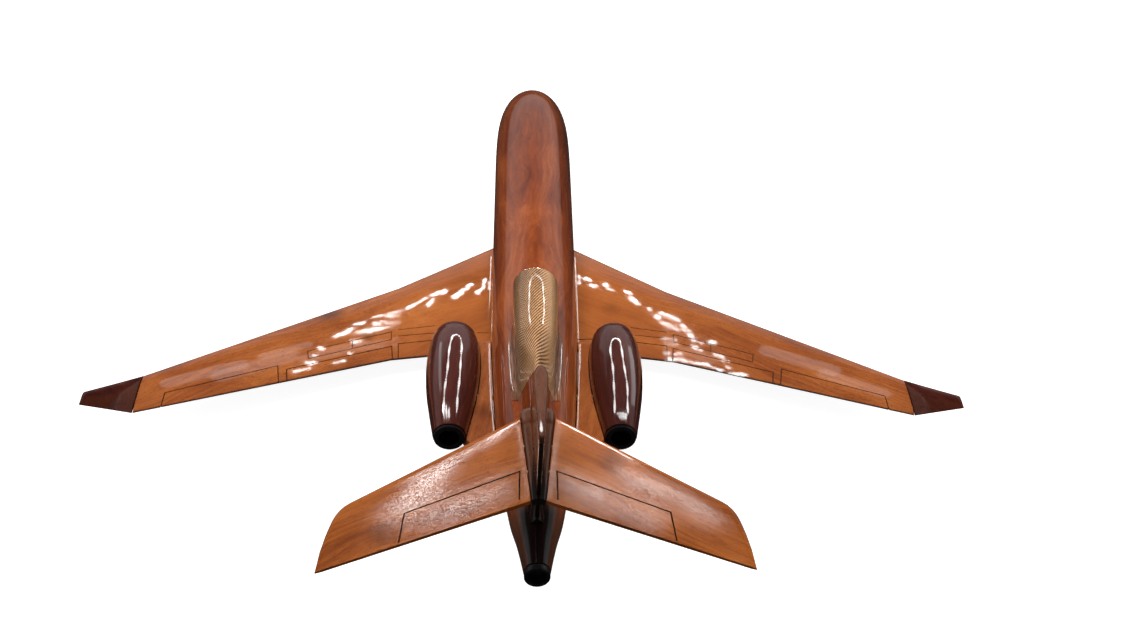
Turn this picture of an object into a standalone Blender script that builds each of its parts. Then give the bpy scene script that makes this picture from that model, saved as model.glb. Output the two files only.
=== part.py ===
# Desktop model of a three-engined, swept-wing business aircraft, turned and
# carved in hardwood, as an assembly of separate pieces.
#
# Frame: metres, +Z up, nose towards -Y, tail towards +Y, port (left) wing towards +X.
# The origin is the centre of the flat belly pad that the model rests on.
# Sizes below are in millimetres. Stations run aft from the wing-root leading edge
# and heights run up from the fuselage centreline; point() moves both to the frame.
import math

import bmesh
import bpy
from mathutils import Vector

MILLIMETRE = 0.001
STATION_DATUM = 45.0        # station of the belly pad's centre
HEIGHT_DATUM = 21.0         # centreline height above the belly pad's face
PAD_Z = -HEIGHT_DATUM
GAP = 0.3                   # clearance between neighbouring pieces
BORE_OVERRUN = 0.4          # how far a bore runs past each end of its peg
SIDES = ((1, "left"), (-1, "right"))    # sign of x, name

# ---------------------------------------------------------------------------
# scene and materials
# ---------------------------------------------------------------------------
for old_object in list(bpy.data.objects):
    bpy.data.objects.remove(old_object, do_unlink=True)
for old_collection in list(bpy.data.collections):
    bpy.data.collections.remove(old_collection)

PARTS = bpy.data.collections.new("desk_aircraft_model")
CUTTERS = bpy.data.collections.new("cutters")
bpy.context.scene.collection.children.link(PARTS)
bpy.context.scene.collection.children.link(CUTTERS)


def material(name, colour, roughness, metallic=0.0):
    new_material = bpy.data.materials.new(name)
    new_material.use_nodes = True
    shader = new_material.node_tree.nodes["Principled BSDF"]
    shader.inputs["Base Color"].default_value = (*colour, 1.0)
    shader.inputs["Roughness"].default_value = roughness
    shader.inputs["Metallic"].default_value = metallic
    return new_material


MAHOGANY = material("mahogany", colour=(0.30, 0.085, 0.032), roughness=0.2)
DARK_WOOD = material("dark_wood", colour=(0.085, 0.022, 0.014), roughness=0.2)
GOLD_WOOD = material("figured_wood", colour=(0.36, 0.17, 0.06), roughness=0.25)
BLACK = material("black_lacquer", colour=(0.010, 0.009, 0.011), roughness=0.3)
DOWEL_WOOD = material("dowel_wood", colour=(0.52, 0.34, 0.17), roughness=0.6)
BRASS = material("brass", colour=(0.60, 0.42, 0.16), roughness=0.3, metallic=1.0)


# ---------------------------------------------------------------------------
# interpolation
# ---------------------------------------------------------------------------
def mix(start, end, fraction):
    return start + (end - start) * fraction


def linear(table, position, column=1):
    """Straight-line interpolation of a table whose first column is the position;
    the end segments are extended beyond the table."""
    for low, high in zip(table, table[1:]):
        if position <= high[0]:
            break
    rise = high[column] - low[column]
    return low[column] + rise * (position - low[0]) / (high[0] - low[0])


def smooth(table, position, column=1):
    """Monotone cubic interpolation of a table, held constant beyond its ends."""
    places = [row[0] for row in table]
    values = [row[column] for row in table]
    if position <= places[0]:
        return values[0]
    if position >= places[-1]:
        return values[-1]
    last = len(places) - 1
    slopes = [(values[i + 1] - values[i]) / (places[i + 1] - places[i]) for i in range(last)]

    def tangent(i):
        if i == 0:
            return 0.0
        if i == last:
            return slopes[-1]
        before, after = slopes[i - 1], slopes[i]
        return 0.0 if before * after <= 0 else 2 * before * after / (before + after)

    k = max(i for i in range(last) if places[i] <= position)
    step = places[k + 1] - places[k]
    t = (position - places[k]) / step
    return ((2 * t**3 - 3 * t**2 + 1) * values[k]
            + (t**3 - 2 * t**2 + t) * tangent(k) * step
            + (-2 * t**3 + 3 * t**2) * values[k + 1]
            + (t**3 - t**2) * tangent(k + 1) * step)


# ---------------------------------------------------------------------------
# building blocks
# ---------------------------------------------------------------------------
def point(x, y, z):
    """A point given in working millimetres, in the frame's metres."""
    return Vector((x, y - STATION_DATUM, z + HEIGHT_DATUM)) * MILLIMETRE


def add_object(name, shape, cutter=False):
    """Turn a bmesh into an object; cutters are hidden from renders."""
    mesh = bpy.data.meshes.new(name)
    shape.to_mesh(mesh)
    shape.free()
    piece = bpy.data.objects.new(name, mesh)
    (CUTTERS if cutter else PARTS).objects.link(piece)
    if cutter:
        piece.hide_render = True
        piece.display_type = "WIRE"
    return piece


def finish(piece, surface, angle=40.0):
    """Give a piece its material, and smooth shading up to an angle in degrees."""
    piece.data.materials.clear()
    piece.data.materials.append(surface)
    piece.data.shade_smooth()
    piece.data.set_sharp_from_angle(angle=math.radians(angle))


def cut(piece, *cutters):
    for cutter in cutters:
        boolean = piece.modifiers.new("cut_" + cutter.name[:20], "BOOLEAN")
        boolean.operation = "DIFFERENCE"
        boolean.solver = "EXACT"
        boolean.object = cutter


def loft(name, sections, cutter=False):
    """Skin a list of equal-length closed sections and cap both ends."""
    shape = bmesh.new()
    rings = [[shape.verts.new(corner) for corner in section] for section in sections]
    count = len(rings[0])
    for ring, following in zip(rings, rings[1:]):
        for i in range(count):
            j = (i + 1) % count
            shape.faces.new((ring[i], ring[j], following[j], following[i]))
    shape.faces.new(rings[0])
    shape.faces.new(rings[-1])
    bmesh.ops.recalc_face_normals(shape, faces=shape.faces)
    return add_object(name, shape, cutter)


def cylinder(name, start, end, radius, facets, cutter=False, chamfer=0.0):
    """A round bar between two points given in working millimetres."""
    start, end = point(*start), point(*end)
    shape = bmesh.new()
    bmesh.ops.create_cone(shape, cap_ends=True, segments=facets,
                          radius1=radius * MILLIMETRE, radius2=radius * MILLIMETRE,
                          depth=(end - start).length)
    bar = add_object(name, shape, cutter)
    bar.rotation_mode = "QUATERNION"
    bar.rotation_quaternion = (end - start).to_track_quat("Z", "Y")
    bar.location = (start + end) / 2
    if chamfer:
        bevel = bar.modifiers.new("chamfer", "BEVEL")
        bevel.width = chamfer * MILLIMETRE
        bevel.segments = 1
        bevel.limit_method = "ANGLE"
        bevel.angle_limit = math.radians(60)
    return bar


def peg(name, bore_name, place, start, end, radius, facets, surface, pieces, chamfer=0.0):
    """A peg and the bore it sits in, cut from the pieces that it joins.
    place turns a distance along the peg into a point in working millimetres."""
    bore = cylinder(bore_name, place(start - BORE_OVERRUN), place(end + BORE_OVERRUN),
                    radius + GAP, facets, cutter=True)
    finish(cylinder(name, place(start), place(end), radius, facets, chamfer=chamfer), surface)
    for piece in pieces:
        cut(piece, bore)


def turned(name, profile, origin, facets=32, cutter=False, tilt=90.0):
    """A body turned about an axis through origin, in working millimetres.
    profile lists (distance along the axis, radius), and is a closed loop when its
    last point repeats the first. A tilt of 90 degrees lays the axis aft, and one
    of 180 stands it upwards."""
    shape = bmesh.new()
    closed = profile[0] == profile[-1]
    outline = profile[:-1] if closed else profile
    verts = [shape.verts.new((radius * MILLIMETRE, 0.0, -along * MILLIMETRE))
             for along, radius in outline]
    for vert, following in zip(verts, verts[1:]):
        shape.edges.new((vert, following))
    if closed:
        shape.edges.new((verts[-1], verts[0]))
    body = add_object(name, shape, cutter)
    screw = body.modifiers.new("turn", "SCREW")
    screw.axis = "Z"
    screw.steps = facets
    screw.render_steps = facets
    screw.use_merge_vertices = True
    screw.merge_threshold = 0.00001
    body.rotation_euler = (math.radians(tilt), 0.0, 0.0)
    body.location = point(*origin)
    return body


# ---------------------------------------------------------------------------
# fuselage
# ---------------------------------------------------------------------------
FUSELAGE_RADIUS = 19.0
FUSELAGE_FACETS = 40
NOSE_STATION = -126.0
NOSE_LENGTH = 90.0
NOSE_POWER = 4.2            # higher is blunter
NOSE_DROOP = 3.6
NOSE_DROOP_POWER = 2.2
TAIL_START = 85.0
TAIL_END = 234.2
# station, radius
TAIL_RADII = ((TAIL_START, FUSELAGE_RADIUS), (105.0, 18.5), (144.6, 16.5), (176.0, 13.9),
              (208.0, 9.9), (220.0, 7.3), (228.0, 5.9), (TAIL_END, 4.95))
# the centreline curves upwards between these stations
TAIL_RISE = 9.2
TAIL_RISE_START = 90.0
TAIL_RISE_END = TAIL_END + 1.5
TAIL_RISE_POWER = 1.6

# ring places: fractions of the nose length, then stations
NOSE_FRACTIONS = (0.0006, 0.004, 0.012, 0.027, 0.05, 0.085, 0.13, 0.19, 0.27, 0.37, 0.5,
                  0.66, 0.83)
BODY_STATIONS = [-38.0, 0.0, 45.0, TAIL_START, 95.0, 105.0, 118.0, 131.0, 144.6, 155.0,
                 166.0, 176.0, 187.0, 198.0, 204.0, 210.0, 215.0, 220.0, 225.0, 230.0,
                 TAIL_END]
SPACE_FRONT = -60.0
SPACE_REAR = TAIL_END + 0.4


def fuselage_radius(y):
    if y < NOSE_STATION + NOSE_LENGTH:
        fraction = (y - NOSE_STATION) / NOSE_LENGTH
        return FUSELAGE_RADIUS * math.sqrt(1.0 - (1.0 - fraction) ** NOSE_POWER)
    return smooth(TAIL_RADII, y)


def fuselage_centre(y):
    """Height of the fuselage's middle."""
    if y < NOSE_STATION + NOSE_LENGTH:
        fraction = (y - NOSE_STATION) / NOSE_LENGTH
        return -NOSE_DROOP * (1.0 - fraction) ** NOSE_DROOP_POWER
    if y <= TAIL_RISE_START:
        return 0.0
    fraction = (y - TAIL_RISE_START) / (TAIL_RISE_END - TAIL_RISE_START)
    return TAIL_RISE * fraction ** TAIL_RISE_POWER


def fuselage_ring(y, extra=0.0):
    radius, centre = fuselage_radius(y) + extra, fuselage_centre(y)
    angles = [2 * math.pi * i / FUSELAGE_FACETS for i in range(FUSELAGE_FACETS)]
    return [point(radius * math.sin(angle), y, centre + radius * math.cos(angle))
            for angle in angles]


nose_stations = [NOSE_STATION + NOSE_LENGTH * fraction for fraction in NOSE_FRACTIONS]
fuselage = loft("fuselage", [fuselage_ring(y) for y in nose_stations + BODY_STATIONS])
finish(fuselage, MAHOGANY)

# the space the fuselage takes, with clearance: its neighbours are cut by it
fuselage_space = loft("fuselage_space",
                      [fuselage_ring(y, GAP)
                       for y in [SPACE_FRONT] + BODY_STATIONS[:-1] + [SPACE_REAR]],
                      cutter=True)

# ---------------------------------------------------------------------------
# belly fairing with the flat rest pad and the stand socket
# ---------------------------------------------------------------------------
BELLY_FRONT, BELLY_REAR = -22.0, 112.0
BELLY_HALF_WIDTH = 12.3
BELLY_CORNER = 11.0
CORNER_POINTS = 7
# height, inset from the full outline
BELLY_LEVELS = ((PAD_Z, 2.6), (-20.7, 1.3), (-19.9, 0.5), (-18.7, 0.0), (-8.0, 0.0))
SOCKET_STATION = 70.0
SOCKET_OUTER, SOCKET_BORE = 3.5, 2.5    # radii
SOCKET_DEPTH = 9.0
SOCKET_END_THICK = 1.5
SOCKET_FACETS = 24


def belly_ring(z, inset):
    half_width, radius = BELLY_HALF_WIDTH - inset, BELLY_CORNER - inset
    front, rear = BELLY_FRONT + inset, BELLY_REAR - inset
    # corner centre x and station, angle at which the corner starts
    corners = ((half_width - radius, rear - radius, 0),
               (-half_width + radius, rear - radius, 90),
               (-half_width + radius, front + radius, 180),
               (half_width - radius, front + radius, 270))
    ring = []
    for x, y, start_angle in corners:
        for i in range(CORNER_POINTS):
            angle = math.radians(start_angle + 90 * i / (CORNER_POINTS - 1))
            ring.append(point(x + radius * math.cos(angle), y + radius * math.sin(angle), z))
    return ring


belly = loft("belly_fairing", [belly_ring(z, inset) for z, inset in BELLY_LEVELS])
finish(belly, MAHOGANY)
socket_space = cylinder("socket_space", (0, SOCKET_STATION, PAD_Z - 3.0),
                        (0, SOCKET_STATION, PAD_Z + SOCKET_DEPTH + BORE_OVERRUN),
                        SOCKET_OUTER + GAP, SOCKET_FACETS, cutter=True)
cut(belly, fuselage_space, socket_space)
cut(fuselage, socket_space)

# a cup that opens downwards, flush with the pad
socket = turned("stand_socket", (
    (0.0, SOCKET_BORE), (0.0, SOCKET_OUTER),
    (SOCKET_DEPTH, SOCKET_OUTER), (SOCKET_DEPTH, 0.0),
    (SOCKET_DEPTH - SOCKET_END_THICK, 0.0), (SOCKET_DEPTH - SOCKET_END_THICK, SOCKET_BORE),
    (0.0, SOCKET_BORE)), (0, SOCKET_STATION, PAD_Z), SOCKET_FACETS, tilt=180.0)
finish(socket, BRASS)

# ---------------------------------------------------------------------------
# wings and winglets
# ---------------------------------------------------------------------------
WING_ROOT_X, WING_KINK_X, WING_TIP_X = 12.7, 62.5, 162.3
# x, leading-edge station, trailing-edge station
WING_PLAN = ((WING_ROOT_X, -5.4, 77.9), (WING_KINK_X, 37.5, 89.7), (WING_TIP_X, 107.8, 131.0))
WING_SECTIONS_X = (WING_ROOT_X, 24.0, 42.0, WING_KINK_X, 86.0, 112.0, 138.0, WING_TIP_X)
WING_REFERENCE_X = 19.0
WING_HEIGHT = -15.4         # mid-plane height at the reference x
DIHEDRAL = 0.053            # slope of the mid-plane
# thickness as a share of the chord
ROOT_THICK, TIP_THICK, WINGLET_THICK = 0.088, 0.100, 0.13
WINGLET_TIP_X, WINGLET_TIP_Z = 174.4, 15.0
WINGLET_TIP_LEADING, WINGLET_TIP_TRAILING = 144.7, 152.2
WINGLET_FRACTIONS = (0, 0.13, 0.26, 0.4, 0.7, 1.0)
WINGLET_TILT_RATE = 2.5     # sections reach full tilt at 1 / this of the winglet
AEROFOIL_STEPS = 9
EDGE_THICK = 0.10           # extra thickness at the trailing edge, fading to the nose

DOWEL_RADIUS, DOWEL_FACETS, DOWEL_CHAMFER = 1.3, 16, 0.25
WING_DOWEL_X = 5.0          # inner end
# name, station, length along x
WING_DOWELS = (("front", 26.0, 28.0), ("rear", 50.0, 24.0))

WINGLET_PIN_STATION = 117.4
WINGLET_PIN_RADIUS, WINGLET_PIN_FACETS = 0.45, 12
# ends as (x, station, height) offsets from the pin station at the wing tip
WINGLET_PIN_ENDS = ((-4.0, 0.0, -0.15), (1.6, 1.6, 0.35))
WINGLET_BORE_ENDS = ((-4.5, -0.14, -0.19), (2.1, 1.74, 0.39))


def wing_mid(x):
    return WING_HEIGHT + DIHEDRAL * (x - WING_REFERENCE_X)


def unit_aerofoil():
    """Outline as (share of chord, share of half-thickness), from the trailing
    edge over the top to the nose and back underneath."""
    top = []
    for i in range(AEROFOIL_STEPS + 1):
        x = 0.5 * (1 + math.cos(math.pi * i / AEROFOIL_STEPS))
        height = 2.969 * math.sqrt(x) - 1.26 * x - 3.516 * x**2 + 2.843 * x**3 - 1.036 * x**4
        top.append((x, height + EDGE_THICK * x))
    return top + [(x, -height) for x, height in reversed(top[:-1])]


AEROFOIL = unit_aerofoil()


def aerofoil_ring(side, x, leading, trailing, thick, z, tilt=0.0):
    chord = trailing - leading
    ring = []
    for along, height in AEROFOIL:
        lift = height * thick * chord * 0.5
        ring.append(point(side * (x - lift * math.sin(tilt)), leading + along * chord,
                          z + lift * math.cos(tilt)))
    return ring


def wing_ring(side, x):
    fraction = (x - WING_ROOT_X) / (WING_TIP_X - WING_ROOT_X)
    return aerofoil_ring(side, x, linear(WING_PLAN, x, 1), linear(WING_PLAN, x, 2),
                         mix(ROOT_THICK, TIP_THICK, fraction), wing_mid(x))


def winglet_ring(side, fraction):
    """fraction runs from the joint with the wing (0) to the winglet's tip (1)."""
    base_x, base_z = WING_TIP_X + GAP, wing_mid(WING_TIP_X)
    _, base_leading, base_trailing = WING_PLAN[-1]
    cant = math.atan2(WINGLET_TIP_Z - base_z, WINGLET_TIP_X - base_x)
    return aerofoil_ring(side, mix(base_x, WINGLET_TIP_X, fraction),
                         mix(base_leading, WINGLET_TIP_LEADING, fraction),
                         mix(base_trailing, WINGLET_TIP_TRAILING, fraction),
                         mix(TIP_THICK, WINGLET_THICK, fraction),
                         mix(base_z, WINGLET_TIP_Z, fraction),
                         tilt=cant * min(1.0, fraction * WINGLET_TILT_RATE))


def near_wing_tip(side, offset):
    return (side * (WING_TIP_X + offset[0]), WINGLET_PIN_STATION + offset[1],
            wing_mid(WING_TIP_X) + offset[2])


def build_wing(side, hand):
    wing = loft(hand + "_wing", [wing_ring(side, x) for x in WING_SECTIONS_X])
    finish(wing, MAHOGANY, 55)
    cut(wing, fuselage_space)
    for label, y, length in WING_DOWELS:
        peg(f"{hand}_wing_dowel_{label}", f"{hand}_wing_bore_{label}",
            lambda x: (side * x, y, wing_mid(x)), WING_DOWEL_X, WING_DOWEL_X + length,
            DOWEL_RADIUS, DOWEL_FACETS, DOWEL_WOOD, (wing, fuselage, belly), DOWEL_CHAMFER)
    return wing


def build_winglet(side, hand, wing):
    """The winglet and the pin that joins it to the wing."""
    winglet = loft(hand + "_winglet",
                   [winglet_ring(side, fraction) for fraction in WINGLET_FRACTIONS])
    finish(winglet, DARK_WOOD, 55)
    bore_ends = [near_wing_tip(side, offset) for offset in WINGLET_BORE_ENDS]
    pin_ends = [near_wing_tip(side, offset) for offset in WINGLET_PIN_ENDS]
    bore = cylinder(hand + "_winglet_bore", *bore_ends, WINGLET_PIN_RADIUS + GAP,
                    WINGLET_PIN_FACETS, cutter=True)
    finish(cylinder(hand + "_winglet_pin", *pin_ends, WINGLET_PIN_RADIUS,
                    WINGLET_PIN_FACETS), BRASS)
    cut(wing, bore)
    cut(winglet, bore)


for side, hand in SIDES:
    build_winglet(side, hand, build_wing(side, hand))

# ---------------------------------------------------------------------------
# side engines: nacelle, intake lip, exhaust nozzle, pylon
# ---------------------------------------------------------------------------
NACELLE_X, NACELLE_Z = 34.0, 3.5
NACELLE_FRONT, NACELLE_REAR = 96.1, 156.9
# station, radius
NACELLE_SKIN = [(NACELLE_FRONT, 9.3), (99.1, 10.0), (103.7, 10.65), (109.8, 11.05),
                (117.0, 11.15), (124.2, 10.9), (132.4, 10.25), (141.6, 9.0),
                (149.8, 7.75), (NACELLE_REAR, 6.6)]
LIP_FRONT = 93.3
LIP_SPIGOT = 3.0            # length of the lip inside the nacelle
INTAKE_RADIUS, INTAKE_DEPTH = 6.8, 11.0
INTAKE_SEAT = INTAKE_RADIUS + 0.9       # radius of the hole in the nacelle's front
NOZZLE_BORE, NOZZLE_DEPTH = 4.0, 9.0
NOZZLE_SEAT = 4.9           # radius of the hole in the nacelle's rear
NOZZLE_FLOOR = NACELLE_REAR - NOZZLE_DEPTH

NACELLE_PROFILE = [
    (NACELLE_FRONT + INTAKE_DEPTH, 0.0), (NACELLE_FRONT + INTAKE_DEPTH, INTAKE_SEAT),
    (NACELLE_FRONT, INTAKE_SEAT), *NACELLE_SKIN,
    (NACELLE_REAR, NOZZLE_SEAT), (NOZZLE_FLOOR, NOZZLE_SEAT), (NOZZLE_FLOOR, 0.0)]
LIP_PROFILE = [
    (NACELLE_FRONT - GAP, 9.2), (NACELLE_FRONT - GAP, INTAKE_SEAT - GAP),
    (NACELLE_FRONT + LIP_SPIGOT, INTAKE_SEAT - GAP), (NACELLE_FRONT + LIP_SPIGOT, INTAKE_RADIUS),
    (LIP_FRONT + 1.3, INTAKE_RADIUS), (LIP_FRONT + 0.4, INTAKE_RADIUS + 0.35),
    (LIP_FRONT, INTAKE_RADIUS + 0.95), (LIP_FRONT + 0.3, INTAKE_RADIUS + 1.6),
    (LIP_FRONT + 1.2, 8.85), (NACELLE_FRONT - GAP, 9.2)]
NOZZLE_PROFILE = [
    (NACELLE_REAR + GAP, NOZZLE_SEAT - GAP), (NACELLE_REAR + GAP, 6.35),
    (NACELLE_REAR + 1.3, 6.15), (NACELLE_REAR + 1.5, 5.95),
    (NACELLE_REAR + 1.5, NOZZLE_BORE + 0.2), (NACELLE_REAR + 1.2, NOZZLE_BORE),
    (NOZZLE_FLOOR + 2.0, NOZZLE_BORE), (NOZZLE_FLOOR + 2.0, 0.0), (NOZZLE_FLOOR + 0.5, 0.0),
    (NOZZLE_FLOOR + 0.5, NOZZLE_SEAT - GAP), (NACELLE_REAR + GAP, NOZZLE_SEAT - GAP)]
NACELLE_SPACE_PROFILE = [
    (NACELLE_FRONT - 3.0, 0.0), (NACELLE_FRONT - 3.0, 9.6),
    *[(y, radius + GAP) for y, radius in NACELLE_SKIN],
    (NACELLE_REAR + 1.8, 6.9), (NACELLE_REAR + 1.8, 0.0)]

PYLON_FRONT, PYLON_REAR = 95.7, 163.0
PYLON_LOW, PYLON_HIGH = -2.3, 3.2
PYLON_EDGE = 0.7            # chamfer along the front and rear edges
# x, station; reaches into the fuselage and the nacelle, which trim it
PYLON_OUTLINE = ((8.0, PYLON_FRONT), (29.0, PYLON_FRONT), (30.0, PYLON_REAR - 11.0),
                 (28.0, PYLON_REAR - 5.0), (25.0, PYLON_REAR - 1.5), (22.0, PYLON_REAR),
                 (8.0, PYLON_REAR))
# height, inset
PYLON_LEVELS = ((PYLON_LOW, PYLON_EDGE), (PYLON_LOW + PYLON_EDGE, 0.0),
                (PYLON_HIGH - PYLON_EDGE, 0.0), (PYLON_HIGH, PYLON_EDGE))
PYLON_MIDDLE = 110.0        # points ahead of this are inset aft, the rest forward
PYLON_DOWEL_STATION, PYLON_DOWEL_Z = 130.0, 0.5
PYLON_DOWEL_SPAN = (7.0, 28.0)          # x of the two ends


def pylon_ring(side, z, inset):
    return [point(side * x, y + (inset if y < PYLON_MIDDLE else -inset), z)
            for x, y in PYLON_OUTLINE]


def build_side_engine(side, hand):
    origin = (side * NACELLE_X, 0.0, NACELLE_Z)
    nacelle = turned(hand + "_nacelle", NACELLE_PROFILE, origin)
    finish(nacelle, DARK_WOOD)
    finish(turned(hand + "_intake_lip", LIP_PROFILE, origin), DARK_WOOD)
    finish(turned(hand + "_exhaust_nozzle", NOZZLE_PROFILE, origin), BLACK)
    nacelle_space = turned(hand + "_nacelle_space", NACELLE_SPACE_PROFILE, origin, cutter=True)

    pylon = loft(hand + "_pylon", [pylon_ring(side, z, inset) for z, inset in PYLON_LEVELS])
    finish(pylon, MAHOGANY)
    cut(pylon, fuselage_space, nacelle_space)
    peg(hand + "_pylon_dowel", hand + "_pylon_bore",
        lambda x: (side * x, PYLON_DOWEL_STATION, PYLON_DOWEL_Z), *PYLON_DOWEL_SPAN,
        DOWEL_RADIUS, DOWEL_FACETS, DOWEL_WOOD, (pylon, nacelle, fuselage), DOWEL_CHAMFER)


for side, hand in SIDES:
    build_side_engine(side, hand)

# ---------------------------------------------------------------------------
# centre engine intake duct on the spine, and the fin pedestal behind it
# ---------------------------------------------------------------------------
DUCT_FRONT, DUCT_REAR = 86.5, 151.0
PEDESTAL_REAR = 216.5
DUCT_TOP = 36.0
GABLE_START = 122.0         # the arch turns into a gable from here to DUCT_REAR
GABLE_POWER = 1.25
ARCH_STEPS = 18
# station, half-width, height of the top
SPINE_SIZES = ((DUCT_FRONT, 9.3, DUCT_TOP), (88.2, 9.6, DUCT_TOP + 0.2),
               (94.0, 9.6, DUCT_TOP + 0.2), (120.0, 8.9, 35.2), (145.0, 7.4, 33.6),
               (160.0, 6.5, 32.0), (175.0, 5.6, 29.6), (190.0, 4.8, 26.6),
               (204.0, 3.8, 22.4), (PEDESTAL_REAR, 2.3, 17.6))
# station, extra half-width of the foot
FOOT_FLARES = ((100.0, 0.0), (108.0, 1.3), (118.0, 2.2), (145.0, 2.7), (160.0, 2.2),
               (185.0, 1.4), (PEDESTAL_REAR, 0.6))
DUCT_STATIONS = (DUCT_FRONT, 87.2, 88.4, 94.0, 100.0, 104.0, 108.0, 112.0, 118.0, 124.0,
                 129.0, 134.0, 139.0, 144.0, 148.0, DUCT_REAR)
PEDESTAL_STATIONS = (DUCT_REAR + GAP, 156.0, 161.0, 168.0, 175.0, 182.0, 190.0, 197.0,
                     204.0, 210.0, PEDESTAL_REAR)
DUCT_MOUTH_RADIUS, DUCT_MOUTH_Z = 6.4, 27.4
DUCT_MOUTH_END = DUCT_FRONT + 14.0
DUCT_FACETS = 28


def spine_ring(y):
    """Cross-section of the duct (a round arch) and of the pedestal behind it
    (a gable), standing on a flared foot that follows the fuselage."""
    half_width = smooth(SPINE_SIZES, y, 1)
    top = smooth(SPINE_SIZES, y, 2)
    flared = half_width + smooth(FOOT_FLARES, y)
    centre, radius = fuselage_centre(y), fuselage_radius(y)
    gable = min(1.0, max(0.0, (y - GABLE_START) / (DUCT_REAR - GABLE_START)))
    gable = gable * gable * (3 - 2 * gable)
    shoulder = mix(top - half_width, centre + radius * 0.88 + 1.0, gable)
    outline = []
    for i in range(ARCH_STEPS + 1):
        angle = math.pi * i / ARCH_STEPS
        across = math.cos(angle)
        rise = math.sin(angle) * (1 - gable) + (1.0 - abs(across) ** GABLE_POWER) * gable
        outline.append((half_width * across, shoulder + (top - shoulder) * rise))
    # the foot flares from the waist to the skirt, just above the fuselage's surface
    surface = centre + math.sqrt(radius ** 2 - half_width ** 2)
    waist = min(shoulder - 0.2, surface + 2.6)
    skirt = min(surface + 0.3, waist - 0.2)
    foot = centre + 2.0
    outline += [(-half_width, waist), (-flared, skirt), (-flared, foot),
                (flared, foot), (flared, skirt), (half_width, waist)]
    return [point(x, y, z) for x, z in outline]


duct = loft("intake_duct", [spine_ring(y) for y in DUCT_STATIONS])
finish(duct, GOLD_WOOD)
duct_mouth = turned("duct_mouth", [
    (DUCT_FRONT - 2.0, 0.0), (DUCT_FRONT - 2.0, DUCT_MOUTH_RADIUS + 0.8),
    (DUCT_FRONT, DUCT_MOUTH_RADIUS + 0.8), (DUCT_FRONT + 1.2, DUCT_MOUTH_RADIUS),
    (DUCT_MOUTH_END, DUCT_MOUTH_RADIUS - 0.4), (DUCT_MOUTH_END, 0.0)],
    (0.0, 0.0, DUCT_MOUTH_Z), DUCT_FACETS, cutter=True)
cut(duct, fuselage_space, duct_mouth)

throat = turned("duct_throat_plug", [
    (DUCT_FRONT + 6.0, 0.0), (DUCT_FRONT + 6.0, 1.2), (DUCT_FRONT + 7.5, 5.7),
    (DUCT_MOUTH_END - GAP, 5.7), (DUCT_MOUTH_END - GAP, 0.0)],
    (0.0, 0.0, DUCT_MOUTH_Z), DUCT_FACETS)
finish(throat, BLACK)

pedestal = loft("fin_pedestal", [spine_ring(y) for y in PEDESTAL_STATIONS])
finish(pedestal, MAHOGANY)
cut(pedestal, fuselage_space)

# ---------------------------------------------------------------------------
# fin and fin cap
# ---------------------------------------------------------------------------
FIN_TOP_Z, FIN_CAP_Z = 88.0, 83.6
FIN_THICK, FIN_CAP_THICK = 4.6, 5.0
# height, station
FIN_LEADING = ((30.0, 163.0), (FIN_TOP_Z, 214.4))
FIN_TRAILING = ((18.6, 216.6), (FIN_TOP_Z, 250.6))
# heights of the front and the rear of each level; the foot slopes down to the
# rear, following the pedestal into its slot
FIN_LEVELS = ((27.0, 18.3), (36.0, 30.0), (50.0, 48.0), (66.0, 66.0))
# height, inset
FIN_CAP_LEVELS = ((FIN_CAP_Z, 0.0), (FIN_TOP_Z - 1.5, 0.0), (FIN_TOP_Z - 0.6, 0.35),
                  (FIN_TOP_Z - 0.1, 1.0), (FIN_TOP_Z, 1.8))
FIN_SIDE_STEPS = 7
FIN_NOSE_SHARE = 0.20       # share of the chord that is rounded at the front
FIN_SIDE_INSET = 0.45       # how far the sides move for each unit of inset
# name, station, radius
CAP_PINS = (("front", 228.5, 0.9), ("rear", 239.0, 0.7))
CAP_PIN_SPAN = (FIN_CAP_Z - 4.0, FIN_CAP_Z + 2.5)
# name, station, low end, high end
FIN_DOWELS = (("front", 182.0, 12.2, 33.0), ("rear", 203.0, 10.6, 30.0))


def unit_fin():
    """Outline as (share of chord, share of half-width), with a blunt rear edge."""
    side_points = []
    for i in range(FIN_SIDE_STEPS + 1):
        along = (i / FIN_SIDE_STEPS) ** 1.7
        if along < FIN_NOSE_SHARE:
            width = math.sqrt(1 - (1 - along / FIN_NOSE_SHARE) ** 2)
        else:
            width = 1.0 - 0.66 * ((along - FIN_NOSE_SHARE) / (1 - FIN_NOSE_SHARE)) ** 1.25
        side_points.append((along, width))
    return side_points + [(along, -width) for along, width in reversed(side_points[1:])]


FIN_UNIT = unit_fin()


def fin_ring(z_front, z_rear, extra=0.0, thick=FIN_THICK, inset=0.0):
    """One level of the fin, grown all round by extra or shrunk by inset."""
    leading = linear(FIN_LEADING, z_front) - extra + inset
    trailing = linear(FIN_TRAILING, z_rear) + extra - inset
    half_width = thick / 2 + extra - inset * FIN_SIDE_INSET
    return [point(width * half_width, mix(leading, trailing, along),
                  mix(z_front, z_rear, along)) for along, width in FIN_UNIT]


fin = loft("fin", [fin_ring(front, rear) for front, rear in FIN_LEVELS]
           + [fin_ring(FIN_CAP_Z - GAP, FIN_CAP_Z - GAP)])
finish(fin, MAHOGANY, 50)

# the fin with clearance, which cuts its slot in the pedestal and root blocks
foot_front, foot_rear = FIN_LEVELS[0]
fin_space = loft("fin_space", [fin_ring(foot_front - GAP, foot_rear - GAP, extra=GAP)]
                 + [fin_ring(front, rear, extra=GAP) for front, rear in FIN_LEVELS[1:]],
                 cutter=True)
cut(pedestal, fin_space)

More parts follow.
